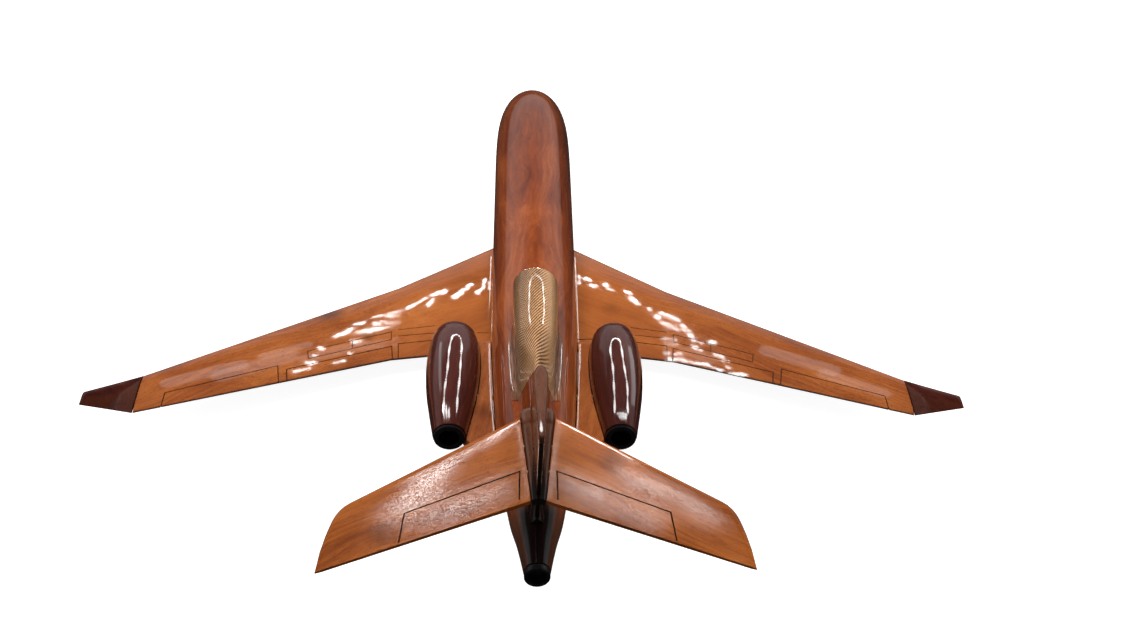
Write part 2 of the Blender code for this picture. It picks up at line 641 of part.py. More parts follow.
fin_cap = loft("fin_cap", [fin_ring(z, z, thick=FIN_CAP_THICK, inset=inset)
                           for z, inset in FIN_CAP_LEVELS])
finish(fin_cap, DARK_WOOD, 50)
for label, y, radius in CAP_PINS:
    peg(f"fin_cap_pin_{label}", f"cap_bore_{label}", lambda z: (0, y, z), *CAP_PIN_SPAN,
        radius, 12, BRASS, (fin, fin_cap))

# dowels that hold the fin down into the pedestal
for label, y, low, high in FIN_DOWELS:
    peg(f"fin_dowel_{label}", f"fin_bore_{label}", lambda z: (0, y, z), low, high,
        0.9, 14, DOWEL_WOOD, (fin, pedestal, fuselage), chamfer=0.2)

# ---------------------------------------------------------------------------
# tailplane: two stabilisers that butt against root blocks on the fin's sides
# ---------------------------------------------------------------------------
TAILPLANE_Z = 40.0
STAB_ROOT_THICK, STAB_TIP_THICK = 4.6, 3.0
STAB_THICK_SPAN = 72.0      # x at which the tip thickness is reached
STAB_EDGE_STEPS = 6
# x, station
STAB_LEADING = ((6.9, 188.2), (63.4, 230.9))
STAB_TRAILING = ((2.0, 231.0), (71.8, 262.5))
STAB_TIP = [STAB_LEADING[1], (66.7, 234.6), (68.6, 239.4), (70.1, 246.5), (71.1, 253.2),
            (71.8, 262.2)]
STAB_TRAILING_INNER_X = 4.0
STAB_MIDDLE = Vector((30.0, 222.0))     # a point inside the plan outline
# share of half-thickness, inset from the plan outline; underside to top
STAB_LAYERS = ((-1.0, 2.6), (-0.8, 1.3), (-0.4, 0.35), (0.1, 0.0), (0.5, 0.35), (0.8, 1.2),
               (1.0, 3.0))
# points this close to the trailing edge have their inset and thickness scaled
TRAILING_BAND = 1.5
TRAILING_INSET_SCALE, TRAILING_THICK_SCALE = 0.45, 0.42

# station, half-width of the root blocks in plan
BLOCK_SIDE = ((187.0, 6.5), (231.0, 2.4))
BLOCK_INNER_X = 0.2
BLOCK_HALF_HEIGHT = 3.6
# station, share of half-height, share of width: a rounded knob ahead of the
# stabiliser, then a low strip along the stabiliser's root
BLOCK_SECTIONS = ((183.4, 0.45, 0.55), (184.2, 0.8, 0.85), (185.6, 1.0, 0.98),
                  (188.0, 1.0, 1.0), (191.6, 0.96, 1.0), (192.8, 0.74, 1.0),
                  (200.0, 0.72, 1.0), (215.0, 0.62, 1.0), (230.4, 0.42, 1.0))
# unit cross-section: share of width, share of half-height
BLOCK_UNIT = ((0, -1), (0.55, -1), (0.87, -0.78), (1, -0.35), (1, 0.35), (0.87, 0.78),
              (0.55, 1), (0, 1))
# name, station
TAILPLANE_DOWELS = (("front", 203.0), ("rear", 216.0))
TAILPLANE_DOWEL_HALF = 17.0


def stabiliser_outline():
    """Plan outline: leading edge, then rounded tip, then trailing edge."""
    (inner_x, _), (outer_x, _) = STAB_LEADING
    tip_x = STAB_TRAILING[1][0]
    outline = [(linear(BLOCK_SIDE, 187.6) + GAP, 187.6)]
    for i in range(1, STAB_EDGE_STEPS):
        x = mix(inner_x, outer_x, i / STAB_EDGE_STEPS)
        outline.append((x, linear(STAB_LEADING, x)))
    outline += STAB_TIP
    for i in range(1, STAB_EDGE_STEPS):
        x = mix(tip_x, STAB_TRAILING_INNER_X, i / STAB_EDGE_STEPS)
        outline.append((x, linear(STAB_TRAILING, x)))
    outline.append((linear(BLOCK_SIDE, 230.4) + GAP, 230.6))
    return outline


def inward(outline, i):
    """Unit direction into the outline, square to the line between the neighbours."""
    before, after = Vector(outline[i - 1]), Vector(outline[(i + 1) % len(outline)])
    tangent = (after - before).normalized()
    normal = Vector((tangent.y, -tangent.x))
    if normal.dot(Vector(outline[i]) - STAB_MIDDLE) > 0:
        normal = -normal
    return normal


def stabiliser_ring(side, outline, level, inset):
    last = len(outline) - 1
    ring = []
    for i, (x, y) in enumerate(outline):
        shift = inset
        thick = mix(STAB_ROOT_THICK, STAB_TIP_THICK, x / STAB_THICK_SPAN)
        if y > linear(STAB_TRAILING, x) - TRAILING_BAND:
            shift *= TRAILING_INSET_SCALE
            thick *= TRAILING_THICK_SCALE
        if i in (0, last):
            # the root's two corners slide along the root block
            y += shift if i == 0 else -shift
            x = linear(BLOCK_SIDE, y) + GAP
        else:
            x, y = Vector((x, y)) + inward(outline, i) * shift
        ring.append(point(side * x, y, TAILPLANE_Z + level * thick / 2))
    return ring


def build_stabiliser(side, hand):
    outline = stabiliser_outline()
    stabiliser = loft(hand + "_stabiliser", [stabiliser_ring(side, outline, level, inset)
                                             for level, inset in STAB_LAYERS])
    finish(stabiliser, MAHOGANY, 60)
    return stabiliser


def build_root_block(side, hand):
    rings = []
    for y, height, width in BLOCK_SECTIONS:
        outer_x = min(linear(BLOCK_SIDE, y), BLOCK_SIDE[0][1]) * width
        rings.append([point(side * mix(BLOCK_INNER_X, outer_x, across), y,
                            TAILPLANE_Z + BLOCK_HALF_HEIGHT * height * up)
                      for across, up in BLOCK_UNIT])
    block = loft(hand + "_root_block", rings)
    finish(block, MAHOGANY)
    cut(block, fin_space)
    return block


tailplane_pieces = [build(side, hand) for side, hand in SIDES
                    for build in (build_root_block, build_stabiliser)]

# dowels that run through the fin from one stabiliser to the other
for label, y in TAILPLANE_DOWELS:
    peg(f"tailplane_dowel_{label}", f"tailplane_bore_{label}",
        lambda x: (x, y, TAILPLANE_Z), -TAILPLANE_DOWEL_HALF, TAILPLANE_DOWEL_HALF,
        0.8, 14, DOWEL_WOOD, (fin, *tailplane_pieces), chamfer=0.2)

# ---------------------------------------------------------------------------
# tail outlet of the centre engine, with a spigot in the end of the fuselage
# ---------------------------------------------------------------------------
SPIGOT_RADIUS = 3.4
# distance aft of the fuselage's end, radius
OUTLET_PROFILE = ((GAP, SPIGOT_RADIUS), (GAP, 4.75), (2.6, 4.7), (3.0, 4.45), (3.0, 3.7),
                  (2.7, 3.45), (-1.0, 2.6), (-1.0, 0.0), (-4.0, 0.0), (-4.0, SPIGOT_RADIUS),
                  (GAP, SPIGOT_RADIUS))

outlet_z = fuselage_centre(TAIL_END)
outlet = turned("tail_outlet", [(TAIL_END + aft, radius) for aft, radius in OUTLET_PROFILE],
                (0.0, 0.0, outlet_z), facets=28)
finish(outlet, BLACK)
outlet_bore = cylinder("tail_outlet_bore", (0, TAIL_END - 4.5, outlet_z),
                       (0, TAIL_END + 6, outlet_z), SPIGOT_RADIUS + GAP, 24, cutter=True)
cut(fuselage, outlet_bore)
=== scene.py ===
# A desk aircraft model in lacquered wood, with two side engines and a centre duct
# under the fin, and the studio round it. The nose points to -Y, the left wing to +X, up is +Z.
# Working numbers are millimetres: x from the centreline, y the station (growing aft,
# 0 near the wing-root leading edge), z the height over the fuselage centreline.
# point() moves them to the frame, in metres.
import math

import bmesh
import bpy
import numpy as np
from mathutils import Matrix, Vector
from mathutils.bvhtree import BVHTree
from mathutils.interpolate import poly_3d_calc


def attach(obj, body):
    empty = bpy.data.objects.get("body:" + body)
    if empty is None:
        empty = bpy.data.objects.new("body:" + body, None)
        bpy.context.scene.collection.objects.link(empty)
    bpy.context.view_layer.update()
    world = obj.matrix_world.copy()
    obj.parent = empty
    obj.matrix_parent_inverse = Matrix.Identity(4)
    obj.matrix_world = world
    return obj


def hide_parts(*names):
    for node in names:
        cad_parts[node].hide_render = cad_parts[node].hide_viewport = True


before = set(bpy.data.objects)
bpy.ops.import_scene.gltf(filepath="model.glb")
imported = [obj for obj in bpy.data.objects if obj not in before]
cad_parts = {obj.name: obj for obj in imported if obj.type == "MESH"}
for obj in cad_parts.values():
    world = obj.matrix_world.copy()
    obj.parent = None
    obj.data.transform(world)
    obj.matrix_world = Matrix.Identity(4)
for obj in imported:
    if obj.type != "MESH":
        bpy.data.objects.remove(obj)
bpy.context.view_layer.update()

MM = 0.001
STATION_DATUM, HEIGHT_DATUM = 45.0, 21.0    # the frame's origin is this far aft and down
GAP = 0.3                                   # clearance between fitted pieces
SIDES = ((1, "left"), (-1, "right"))

# --- fuselage: nose, then a tail that tapers and rises -----------------------
FUS_R = 19.0
NOSE_STATION, NOSE_LENGTH, NOSE_POWER, NOSE_DROOP = -126.0, 90.0, 4.2, 3.6
TAIL_START, TAIL_END = 85.0, 234.2
# (station, radius)
TAIL_RADII = ((TAIL_START, FUS_R), (105.0, 18.5), (144.6, 16.5), (176.0, 13.9),
              (208.0, 9.9), (220.0, 7.3), (228.0, 5.9), (TAIL_END, 4.95))
TAIL_RISE, TAIL_RISE_START, TAIL_RISE_POWER = 9.2, 90.0, 1.6
BELLY_FRONT, BELLY_REAR, BELLY_HALF, BELLY_CORNER = -22.0, 112.0, 12.3, 11.0
BELLY_LOW, BELLY_EDGE_DROP, BELLY_EDGE_IN = -HEIGHT_DATUM, 2.3, 2.6
SOCKET_OUTER, SOCKET_DEPTH, SOCKET_STATION = 3.5, 9.0, 70.0

# --- wings: edges as (x, station) --------------------------------------------
WING_ROOT_X, WING_KINK_X, WING_TIP_X = 12.7, 62.5, 162.3
WING_LE = ((WING_ROOT_X, -5.4), (WING_KINK_X, 37.5), (WING_TIP_X, 107.8))
WING_TE = ((WING_ROOT_X, 77.9), (WING_KINK_X, 89.7), (WING_TIP_X, 131.0))
WING_HEIGHT, WING_REF_X, DIHEDRAL = -15.4, 19.0, 0.053
ROOT_THICK, TIP_THICK = 0.088, 0.100        # fractions of the chord
# winglet tip: x, leading edge, trailing edge, height
WINGLET_TIP, WINGLET_THICK = (174.4, 144.7, 152.2, 15.0), 0.13
WING_PIN_STATION = 117.4

# --- side engines ------------------------------------------------------------
NAC_X, NAC_Z, NAC_FRONT, NAC_REAR, LIP_FRONT = 34.0, 3.5, 96.1, 156.9, 93.3
# (station, radius)
NAC_PROFILE = ((NAC_FRONT, 9.3), (99.1, 10.0), (103.7, 10.65), (109.8, 11.05),
               (117.0, 11.15), (124.2, 10.9), (132.4, 10.25), (141.6, 9.0),
               (149.8, 7.75), (NAC_REAR, 6.6))
INTAKE_R, INTAKE_DEPTH, NOZZLE_BORE, NOZZLE_DEPTH = 6.8, 11.0, 4.0, 9.0
PYLON_FRONT, PYLON_REAR, PYLON_LOW, PYLON_HIGH, PYLON_EDGE_R = 95.7, 163.0, -2.3, 3.2, 0.8

# --- centre duct, pedestal and fin -------------------------------------------
DUCT_FRONT, DUCT_HALF, DUCT_TOP, DUCT_INTAKE_R, DUCT_INTAKE_Z = 86.5, 9.3, 36.0, 6.4, 27.4
DUCT_GABLE_START, DUCT_REAR, DUCT_END, DUCT_EDGE_R = 122.0, 151.0, 216.5, 1.2
# (station, half-width, top height)
DUCT_STATIONS = (
    (DUCT_FRONT, DUCT_HALF, DUCT_TOP), (88.2, 9.6, DUCT_TOP + 0.2), (94.0, 9.6, DUCT_TOP + 0.2),
    (120.0, 8.9, 35.2), (145.0, 7.4, 33.6), (160.0, 6.5, 32.0), (175.0, 5.6, 29.6),
    (190.0, 4.8, 26.6), (204.0, 3.8, 22.4), (DUCT_END, 2.3, 17.6))
# (station, outward flare of the foot)
FLARE_STATIONS = ((100.0, 0.0), (108.0, 1.3), (118.0, 2.2), (145.0, 2.7), (160.0, 2.2),
                  (185.0, 1.4), (DUCT_END, 0.6))
FIN_TOP_Z, FIN_CAP_Z, FIN_THICK, FIN_CAP_THICK, FIN_CAP_ROUND = 88.0, 83.6, 4.6, 5.0, 1.9
# (station, height) at the foot and the top
FIN_LE = ((163.0, 30.0), (214.4, FIN_TOP_Z))
FIN_TE = ((216.6, 18.6), (250.6, FIN_TOP_Z))
# heights of a fin section at its (leading edge, trailing edge); the foot slopes
FIN_FOOT_LEVELS = ((27.0, 18.3), (36.0, 30.0), (50.0, 48.0), (66.0, 66.0))

# --- tailplane: plan points are (x, station) ----------------------------------
TAILPLANE_Z, STAB_ROOT_THICK, STAB_TIP_THICK = 40.0, 4.6, 3.0
STAB_LE_ROOT, STAB_LE_TIP, STAB_TE_TIP = (6.9, 188.2), (63.4, 230.9), (71.8, 262.5)
STAB_TE_ROOT_STATION = 231.0
STAB_TIP_CURVE = (STAB_LE_TIP, (65.2, 232.55), (66.7, 234.6), (67.8, 236.9), (68.6, 239.4),
                  (69.4, 242.9), (70.1, 246.5), (71.1, 253.2), (71.7, 261.7))
HINGE = ((6.6, 230.3), (6.5, 216.9), (44.9, 236.9), (45.95, 249.6))
BLOCK_FRONT, BLOCK_REAR, BLOCK_WIDEST = 183.4, 230.4, 187.0

# --- dowel bores -------------------------------------------------------------
DOWEL_BORE_R, FIN_BORE_R, TAIL_BORE_R = 1.6, 1.2, 1.1
WING_BORES = ((26.0, 4.6, 33.4), (50.0, 4.6, 29.4))      # station, inner x, outer x
PYLON_BORE = (130.0, 0.5, 6.6, 28.4)                     # station, height, inner x, outer x
FIN_BORES = ((182.0, 11.8, 33.4), (203.0, 10.2, 30.4))   # station, low, high
TAIL_BORE_STATIONS, TAIL_BORE_X = (203.0, 216.0), 17.4
CAP_PINS = ((228.5, 0.9), (239.0, 0.7))                  # station, radius


# ===========================================================================
# shape rules, shared with the CAD model
# ===========================================================================
def point(x, y, z):
    return Vector((x * MM, (y - STATION_DATUM) * MM, (z + HEIGHT_DATUM) * MM))


def smooth(table, y):
    """A cubic without overshoot through (station, value) rows."""
    stations, values = zip(*table)
    if y <= stations[0]:
        return values[0]
    if y >= stations[-1]:
        return values[-1]
    k = max(i for i in range(len(stations) - 1) if stations[i] <= y)
    slopes = [(values[i + 1] - values[i]) / (stations[i + 1] - stations[i])
              for i in range(len(stations) - 1)]

    def tangent(i):
        if i == 0:
            return 0.0
        if i == len(slopes):
            return slopes[-1]
        before, after = slopes[i - 1], slopes[i]
        return 0.0 if before * after <= 0 else 2 * before * after / (before + after)

    length = stations[k + 1] - stations[k]
    t = (y - stations[k]) / length
    start, end = tangent(k) * length, tangent(k + 1) * length
    return ((2 * t**3 - 3 * t**2 + 1) * values[k] + (t**3 - 2 * t**2 + t) * start
            + (-2 * t**3 + 3 * t**2) * values[k + 1] + (t**3 - t**2) * end)


def linear(table, x):
    for (xa, va), (xb, vb) in zip(table, table[1:]):
        if x <= xb or (xb, vb) == table[-1]:
            return va + (vb - va) * (x - xa) / (xb - xa)


def spread(start, end, step):
    """Even values from start to end, no further apart than step."""
    n = max(1, int(math.ceil((end - start) / step)))
    return [start + (end - start) * i / n for i in range(n + 1)]


def fus_radius(y):
    if y < NOSE_STATION + NOSE_LENGTH:
        t = max(0.0, (y - NOSE_STATION) / NOSE_LENGTH)
        return FUS_R * math.sqrt(max(0.0, 1.0 - (1.0 - t) ** NOSE_POWER))
    return FUS_R if y <= TAIL_START else smooth(TAIL_RADII, y)


def fus_centre(y):
    if y < NOSE_STATION + NOSE_LENGTH:
        t = max(0.0, (y - NOSE_STATION) / NOSE_LENGTH)
        return -NOSE_DROOP * (1.0 - t) ** 2.2
    if y <= TAIL_RISE_START:
        return 0.0
    t = (y - TAIL_RISE_START) / (TAIL_END + 1.5 - TAIL_RISE_START)
    return TAIL_RISE * t ** TAIL_RISE_POWER


OUTLET_Z = fus_centre(TAIL_END)


def fus_ring(y, extra=0.0, shrink=1.0, n=144):
    radius, centre = (fus_radius(y) + extra) * shrink, fus_centre(y)
    return [point(radius * math.sin(2 * math.pi * i / n), y,
                  centre + radius * math.cos(2 * math.pi * i / n)) for i in range(n)]


def wing_mid(x):
    return WING_HEIGHT + DIHEDRAL * (x - WING_REF_X)


def foil_half(c):
    """Half-thickness of the wing section at chord fraction c; the rear edge is blunt."""
    curve = 2.969 * math.sqrt(max(c, 0.0)) - 1.26 * c - 3.516 * c**2 + 2.843 * c**3 - 1.036 * c**4
    return max(curve, 0.0) + 0.10 * c


def foil_section(n=30):
    """(chord fraction, height) points over the top to the nose and back beneath."""
    top = []
    for i in range(n + 1):
        c = 0.5 * (1 + math.cos(math.pi * i / n))
        top.append((c, foil_half(c)))
    under = [(c, -h) for c, h in reversed(top[1:-1])]
    return top + under + [(1.0, -top[0][1])]


WING_FOIL = foil_section()


def wing_thick(x):
    return ROOT_THICK + (TIP_THICK - ROOT_THICK) * (x - WING_ROOT_X) / (WING_TIP_X - WING_ROOT_X)


def wing_top(x, y):
    le, te = linear(WING_LE, x), linear(WING_TE, x)
    c = min(1.0, max(0.0, (y - le) / (te - le)))
    return wing_mid(x) + foil_half(c) * wing_thick(x) * (te - le) * 0.5


def duct_ring(y, inset=0.0, n=56, foot_steps=6):
    """A round arch in front that turns into a ridged gable aft, on a flared foot."""
    half = smooth([(s, h) for s, h, _ in DUCT_STATIONS], y)
    top = smooth([(s, t) for s, _, t in DUCT_STATIONS], y)
    gable = min(1.0, max(0.0, (y - DUCT_GABLE_START) / (DUCT_REAR - DUCT_GABLE_START)))
    gable = gable * gable * (3 - 2 * gable)
    foot = fus_centre(y) + 2.0
    arch_shoulder = max(top - half, foot + 1.0)
    gable_shoulder = fus_centre(y) + fus_radius(y) * 0.88 + 1.0
    shoulder = arch_shoulder + (gable_shoulder - arch_shoulder) * gable
    flare = smooth(FLARE_STATIONS, y)
    surface = fus_centre(y) + math.sqrt(max(0.1, fus_radius(y) ** 2 - half ** 2))
    waist = min(shoulder - 0.2, surface + 2.6)
    skirt = min(shoulder - 0.4, surface + 0.3, waist - 0.2)
    half, top = half - inset, top - inset
    blunt = 0.006                       # rounds the gable's ridge
    low, high = math.sqrt(blunt), math.sqrt(1 + blunt)
    arch = []
    for i in range(n + 1):
        a = math.pi * i / n
        u = math.cos(a)
        ridge = 1.0 - ((math.sqrt(u * u + blunt) - low) / (high - low)) ** 1.25
        rise = math.sin(a) * (1 - gable) + ridge * gable
        arch.append((half * u, shoulder + (top - shoulder) * rise))
    # the foot is a hollow curve from the side down to the fuselage
    side = []
    for i in range(1, foot_steps + 1):
        a = i / foot_steps * math.pi / 2
        side.append((half + flare * (1 - math.cos(a)), waist + (skirt - waist) * math.sin(a)))
    side.append((half + flare, foot))
    return [point(x, y, z) for x, z in arch + [(-x, z) for x, z in side] + side[::-1]]


def fin_edge(line, z):
    (y0, z0), (y1, z1) = line
    return y0 + (y1 - y0) * (z - z0) / (z1 - z0)


def fin_section(n=26):
    """(chord fraction, half-width fraction) down one side and back up the other."""
    side = []
    for i in range(n + 1):
        c = (i / n) ** 1.7
        if c < 0.20:
            width = min(1.0, math.sqrt(max(0.0, 1 - (1 - c / 0.20) ** 2)))
        else:
            width = 1.0 - 0.66 * ((c - 0.20) / 0.80) ** 1.25
        side.append((c, width))
    end = side.pop()[1]
    side += [(0.9945, end + 0.004), (0.9985, end - 0.03), (1.0, end - 0.11)]
    return side + [(c, -width) for c, width in reversed(side[1:])]


FIN_SECTION = fin_section()


def fin_ring(z, extra=0.0, thick=FIN_THICK, inset=0.0, z_rear=None):
    z_rear = z if z_rear is None else z_rear
    le, te = fin_edge(FIN_LE, z) - extra + inset, fin_edge(FIN_TE, z_rear) + extra - inset
    half = thick / 2 + extra - inset * 0.45
    return [point(w * half, le + c * (te - le), z + (z_rear - z) * c) for c, w in FIN_SECTION]


def fin_foot_levels():
    levels = []
    for (a, a_rear), (b, b_rear) in zip(FIN_FOOT_LEVELS, FIN_FOOT_LEVELS[1:]):
        for k in range(6):
            levels.append((a + (b - a) * k / 6, a_rear + (b_rear - a_rear) * k / 6))
    return levels + [FIN_FOOT_LEVELS[-1]]


def block_side(y):
    """Outer x of a root block."""
    return 6.5 + (2.4 - 6.5) * (y - 187.0) / (231.0 - 187.0)


def stab_te(x):
    return STAB_TE_ROOT_STATION + (STAB_TE_TIP[1] - STAB_TE_ROOT_STATION) * \
        (x - 2.0) / (STAB_TE_TIP[0] - 2.0)


STAB_LE = [(block_side(187.6) + GAP, 187.6), STAB_LE_ROOT] + \
    [(STAB_LE_ROOT[0] + (STAB_LE_TIP[0] - STAB_LE_ROOT[0]) * i / 12,
      STAB_LE_ROOT[1] + (STAB_LE_TIP[1] - STAB_LE_ROOT[1]) * i / 12) for i in range(1, 12)] + \
    list(STAB_TIP_CURVE)
STAB_LE_POINTS = np.array(STAB_LE)


def edge_distance(x, y):
    """Plan distance from a point to the stabiliser's leading edge."""
    starts = STAB_LE_POINTS[:-1]
    steps = STAB_LE_POINTS[1:] - starts
    here = np.array((x, y))
    t = np.clip(((here - starts) * steps).sum(1) / (steps * steps).sum(1), 0, 1)
    return float(np.sqrt((((starts + steps * t[:, None]) - here) ** 2).sum(1)).min())


def stab_half(x, y):
    """Half-thickness of the stabiliser at a plan point."""
    nose_radius = 2.7
    full = (STAB_ROOT_THICK + (STAB_TIP_THICK - STAB_ROOT_THICK) * x / 72.0) / 2
    le = STAB_LE_ROOT[1] + (STAB_LE_TIP[1] - STAB_LE_ROOT[1]) * (x - STAB_LE_ROOT[0]) / 56.5
    c = min(1.0, max(0.0, (y - le) / max(8.0, stab_te(x) - le)))
    aft = min(1.0, max(0.0, (c - 0.22) / 0.78))
    full *= 1.0 - 0.66 * (aft ** 1.35)
    d = min(edge_distance(x, y), nose_radius) / nose_radius
    return full * math.sqrt(max(0.0, 1 - (1 - d) ** 2))


def stab_top(x, y):
    return TAILPLANE_Z + stab_half(x, y)


def along(line, fraction):
    """The point this fraction of the way along a polyline."""
    points = [Vector(p) for p in line]
    lengths = [(b - a).length for a, b in zip(points, points[1:])]
    rest = fraction * sum(lengths)
    for a, b, length in zip(points, points[1:], lengths):
        if rest <= length or b is points[-1]:
            return a.lerp(b, min(1.0, rest / length))
        rest -= length


# ===========================================================================
# mesh tools
# ===========================================================================
def link_object(name, mesh):
    ob = bpy.data.objects.new(name, mesh)
    bpy.context.scene.collection.objects.link(ob)
    return ob


def mesh_from(name, verts, faces):
    mesh = bpy.data.meshes.new(name)
    mesh.from_pydata([tuple(v) for v in verts], [], faces)
    bm = bmesh.new()
    bm.from_mesh(mesh)
    bmesh.ops.recalc_face_normals(bm, faces=bm.faces)
    bm.to_mesh(mesh)
    bm.free()
    return link_object(name, mesh)


def loft(name, rings, loop=False):
    """A skin over rings of equal count, capped at the ends or closed on itself."""
    n, last = len(rings[0]), len(rings) - 1
    verts = [v for ring in rings for v in ring]
    pairs = list(zip(range(last), range(1, last + 1)))
    if loop:
        pairs.append((last, 0))
    faces = []
    for a, b in pairs:
        for i in range(n):
            j = (i + 1) % n
            faces.append((a * n + i, a * n + j, b * n + j, b * n + i))
    if not loop:
        faces.append(tuple(range(n)))
        faces.append(tuple(last * n + i for i in range(n)))
    return mesh_from(name, verts, faces)


def softened(profile, radius, n=4):
    """Round the corners of an open or closed (station, radius) profile."""
    if radius <= 0:
        return list(profile)
    closed = profile[0] == profile[-1]
    points = [Vector(p) for p in (profile[:-1] if closed else profile)]
    out = []
    for i, corner in enumerate(points):
        if not closed and i in (0, len(points) - 1):
            out.append(corner)
            continue
        a, b = points[i - 1] - corner, points[(i + 1) % len(points)] - corner
        turn = math.pi - a.angle(b)
        if turn < math.radians(22):
            out.append(corner)
            continue
        cutback = min(radius * math.tan(turn / 2), a.length * 0.45, b.length * 0.45)
        start, end = corner + a.normalized() * cutback, corner + b.normalized() * cutback
        for k in range(n + 1):
            t = k / n
            out.append(start * (1 - t) ** 2 + corner * (2 * t * (1 - t)) + end * t * t)
    out = [tuple(p) for p in out]
    return out + [out[0]] if closed else out


def turned(name, profile, centre, soft, facets=96):
    """A ring or solid turned about a fore-and-aft axis through centre (x, z)."""
    profile = softened(profile, soft)
    closed = profile[0] == profile[-1]
    verts, rows = [], []
    for y, r in profile[:-1] if closed else profile:
        if r < 1e-6:
            rows.append([len(verts)])
            verts.append(point(centre[0], y, centre[1]))
            continue
        rows.append(list(range(len(verts), len(verts) + facets)))
        for i in range(facets):
            a = 2 * math.pi * i / facets
            verts.append(point(centre[0] + r * math.sin(a), y, centre[1] + r * math.cos(a)))
    pairs = list(zip(rows, rows[1:]))
    if closed:
        pairs.append((rows[-1], rows[0]))
    faces = []
    for a, b in pairs:
        if len(a) == 1 and len(b) == 1:
            continue
        for i in range(facets):
            j = (i + 1) % facets
            if len(a) == 1:
                faces.append((a[0], b[j], b[i]))
            elif len(b) == 1:
                faces.append((a[i], a[j], b[0]))
            else:
                faces.append((a[i], a[j], b[j], b[i]))
    return mesh_from(name, verts, faces)


def rod(start, end, radius, facets=16):
    """A round cutter between two working points."""
    a, b = point(*start), point(*end)
    axis = (b - a).normalized()
    side = axis.orthogonal().normalized()
    other = axis.cross(side)
    return loft("bore", [[p + (side * math.cos(2 * math.pi * i / facets)
                               + other * math.sin(2 * math.pi * i / facets)) * radius * MM
                          for i in range(facets)] for p in (a, b)])


def joined(obs):
    """One cutter from several separate closed ones."""
    bm = bmesh.new()
    for ob in obs:
        bm.from_mesh(ob.data)
    mesh = bpy.data.meshes.new("cutter")
    bm.to_mesh(mesh)
    bm.free()
    for ob in obs:
        bpy.data.objects.remove(ob)
    return link_object("cutter", mesh)


USED_CUTTERS = []


def carve(ob, *cutters, scribed=False):
    """Bake the cuts into ob's mesh; scribed cuts get their own dark slot."""
    if scribed and len(ob.data.materials) < 2:
        ob.data.materials.clear()
        ob.data.materials.append(MAT["plug"])
        ob.data.materials.append(MAT["scribe"])
    for cutter in cutters:
        if scribed:
            cutter.data.materials.append(MAT["plug"])
            cutter.data.materials.append(MAT["scribe"])
            for poly in cutter.data.polygons:
                poly.material_index = 1
        mod = ob.modifiers.new("cut", "BOOLEAN")
        mod.operation = "DIFFERENCE"
        mod.solver = "EXACT"
        mod.object = cutter
    graph = bpy.context.evaluated_depsgraph_get()
    mesh = bpy.data.meshes.new_from_object(ob.evaluated_get(graph), depsgraph=graph)
    ob.modifiers.clear()
    ob.data = mesh
    USED_CUTTERS.extend(c for c in cutters if c not in USED_CUTTERS)


def groove(points, height, side, width=0.56, depth=0.40, closed=False, step=2.0):
    """A flat-bottomed cutter along a plan polyline, following the skin height(x, y)."""
    points = [Vector(p) for p in points]
    n = len(points)
    count = n if closed else n - 1
    path = []                           # (place, whether a corner, leg number)
    for i in range(count):
        a, b = points[i], points[(i + 1) % n]
        m = max(1, int((b - a).length / step))
        for k in range(m):
            path.append((a.lerp(b, k / m), k == 0 and (closed or i > 0), i))
    if not closed:
        path.append((points[-1], False, count - 1))
    rings = []
    for place, corner, i in path:
        heading = (points[(i + 1) % n] - points[i]).normalized()
        across = Vector((-heading.y, heading.x))
        reach = 1.0
        if corner:
            before = (points[i] - points[i - 1]).normalized()
            mitre = (across + Vector((-before.y, before.x))).normalized()
            reach = 1.0 / max(0.3, mitre.dot(across))
            across = mitre
        offset = across * (width / 2 * reach)
        ring = []
        # (side, rise, taper): wide above the skin, narrow at the bottom
        for sign, rise, taper in ((-1, 0.9, 1.0), (1, 0.9, 1.0), (1, -depth, 0.55),
                                  (-1, -depth, 0.55)):
            q = place + offset * sign * taper
            ring.append(point(side * q.x, q.y, height(q.x, q.y) + rise))
        rings.append(ring)
    return loft("groove", rings, loop=closed)


# ===========================================================================
# shader tools
# ===========================================================================
class Signal:
    """A shader output that takes part in plain arithmetic."""

    def __init__(self, tree, socket):
        self.tree, self.socket = tree, socket

    def __add__(self, other):
        return self.tree.math("ADD", self, other)

    def __radd__(self, other):
        return self.tree.math("ADD", other, self)

    def __sub__(self, other):
        return self.tree.math("SUBTRACT", self, other)

    def __rsub__(self, other):
        return self.tree.math("SUBTRACT", other, self)

    def __mul__(self, other):
        return self.tree.math("MULTIPLY", self, other)

    def __truediv__(self, other):
        return self.tree.math("DIVIDE", self, other)

    def __abs__(self):
        return self.tree.math("ABSOLUTE", self)

    def span(self, start, end, low=0.0, high=1.0):
        """Map start..end to low..high and hold the ends."""
        return self.tree.make("ShaderNodeMapRange",
                              {0: self, 1: start, 2: end, 3: low, 4: high})

    def scaled(self, scale, offset=(0, 0, 0)):
        return self.tree.make("ShaderNodeMapping",
                              {"Vector": self, "Scale": scale, "Location": offset})


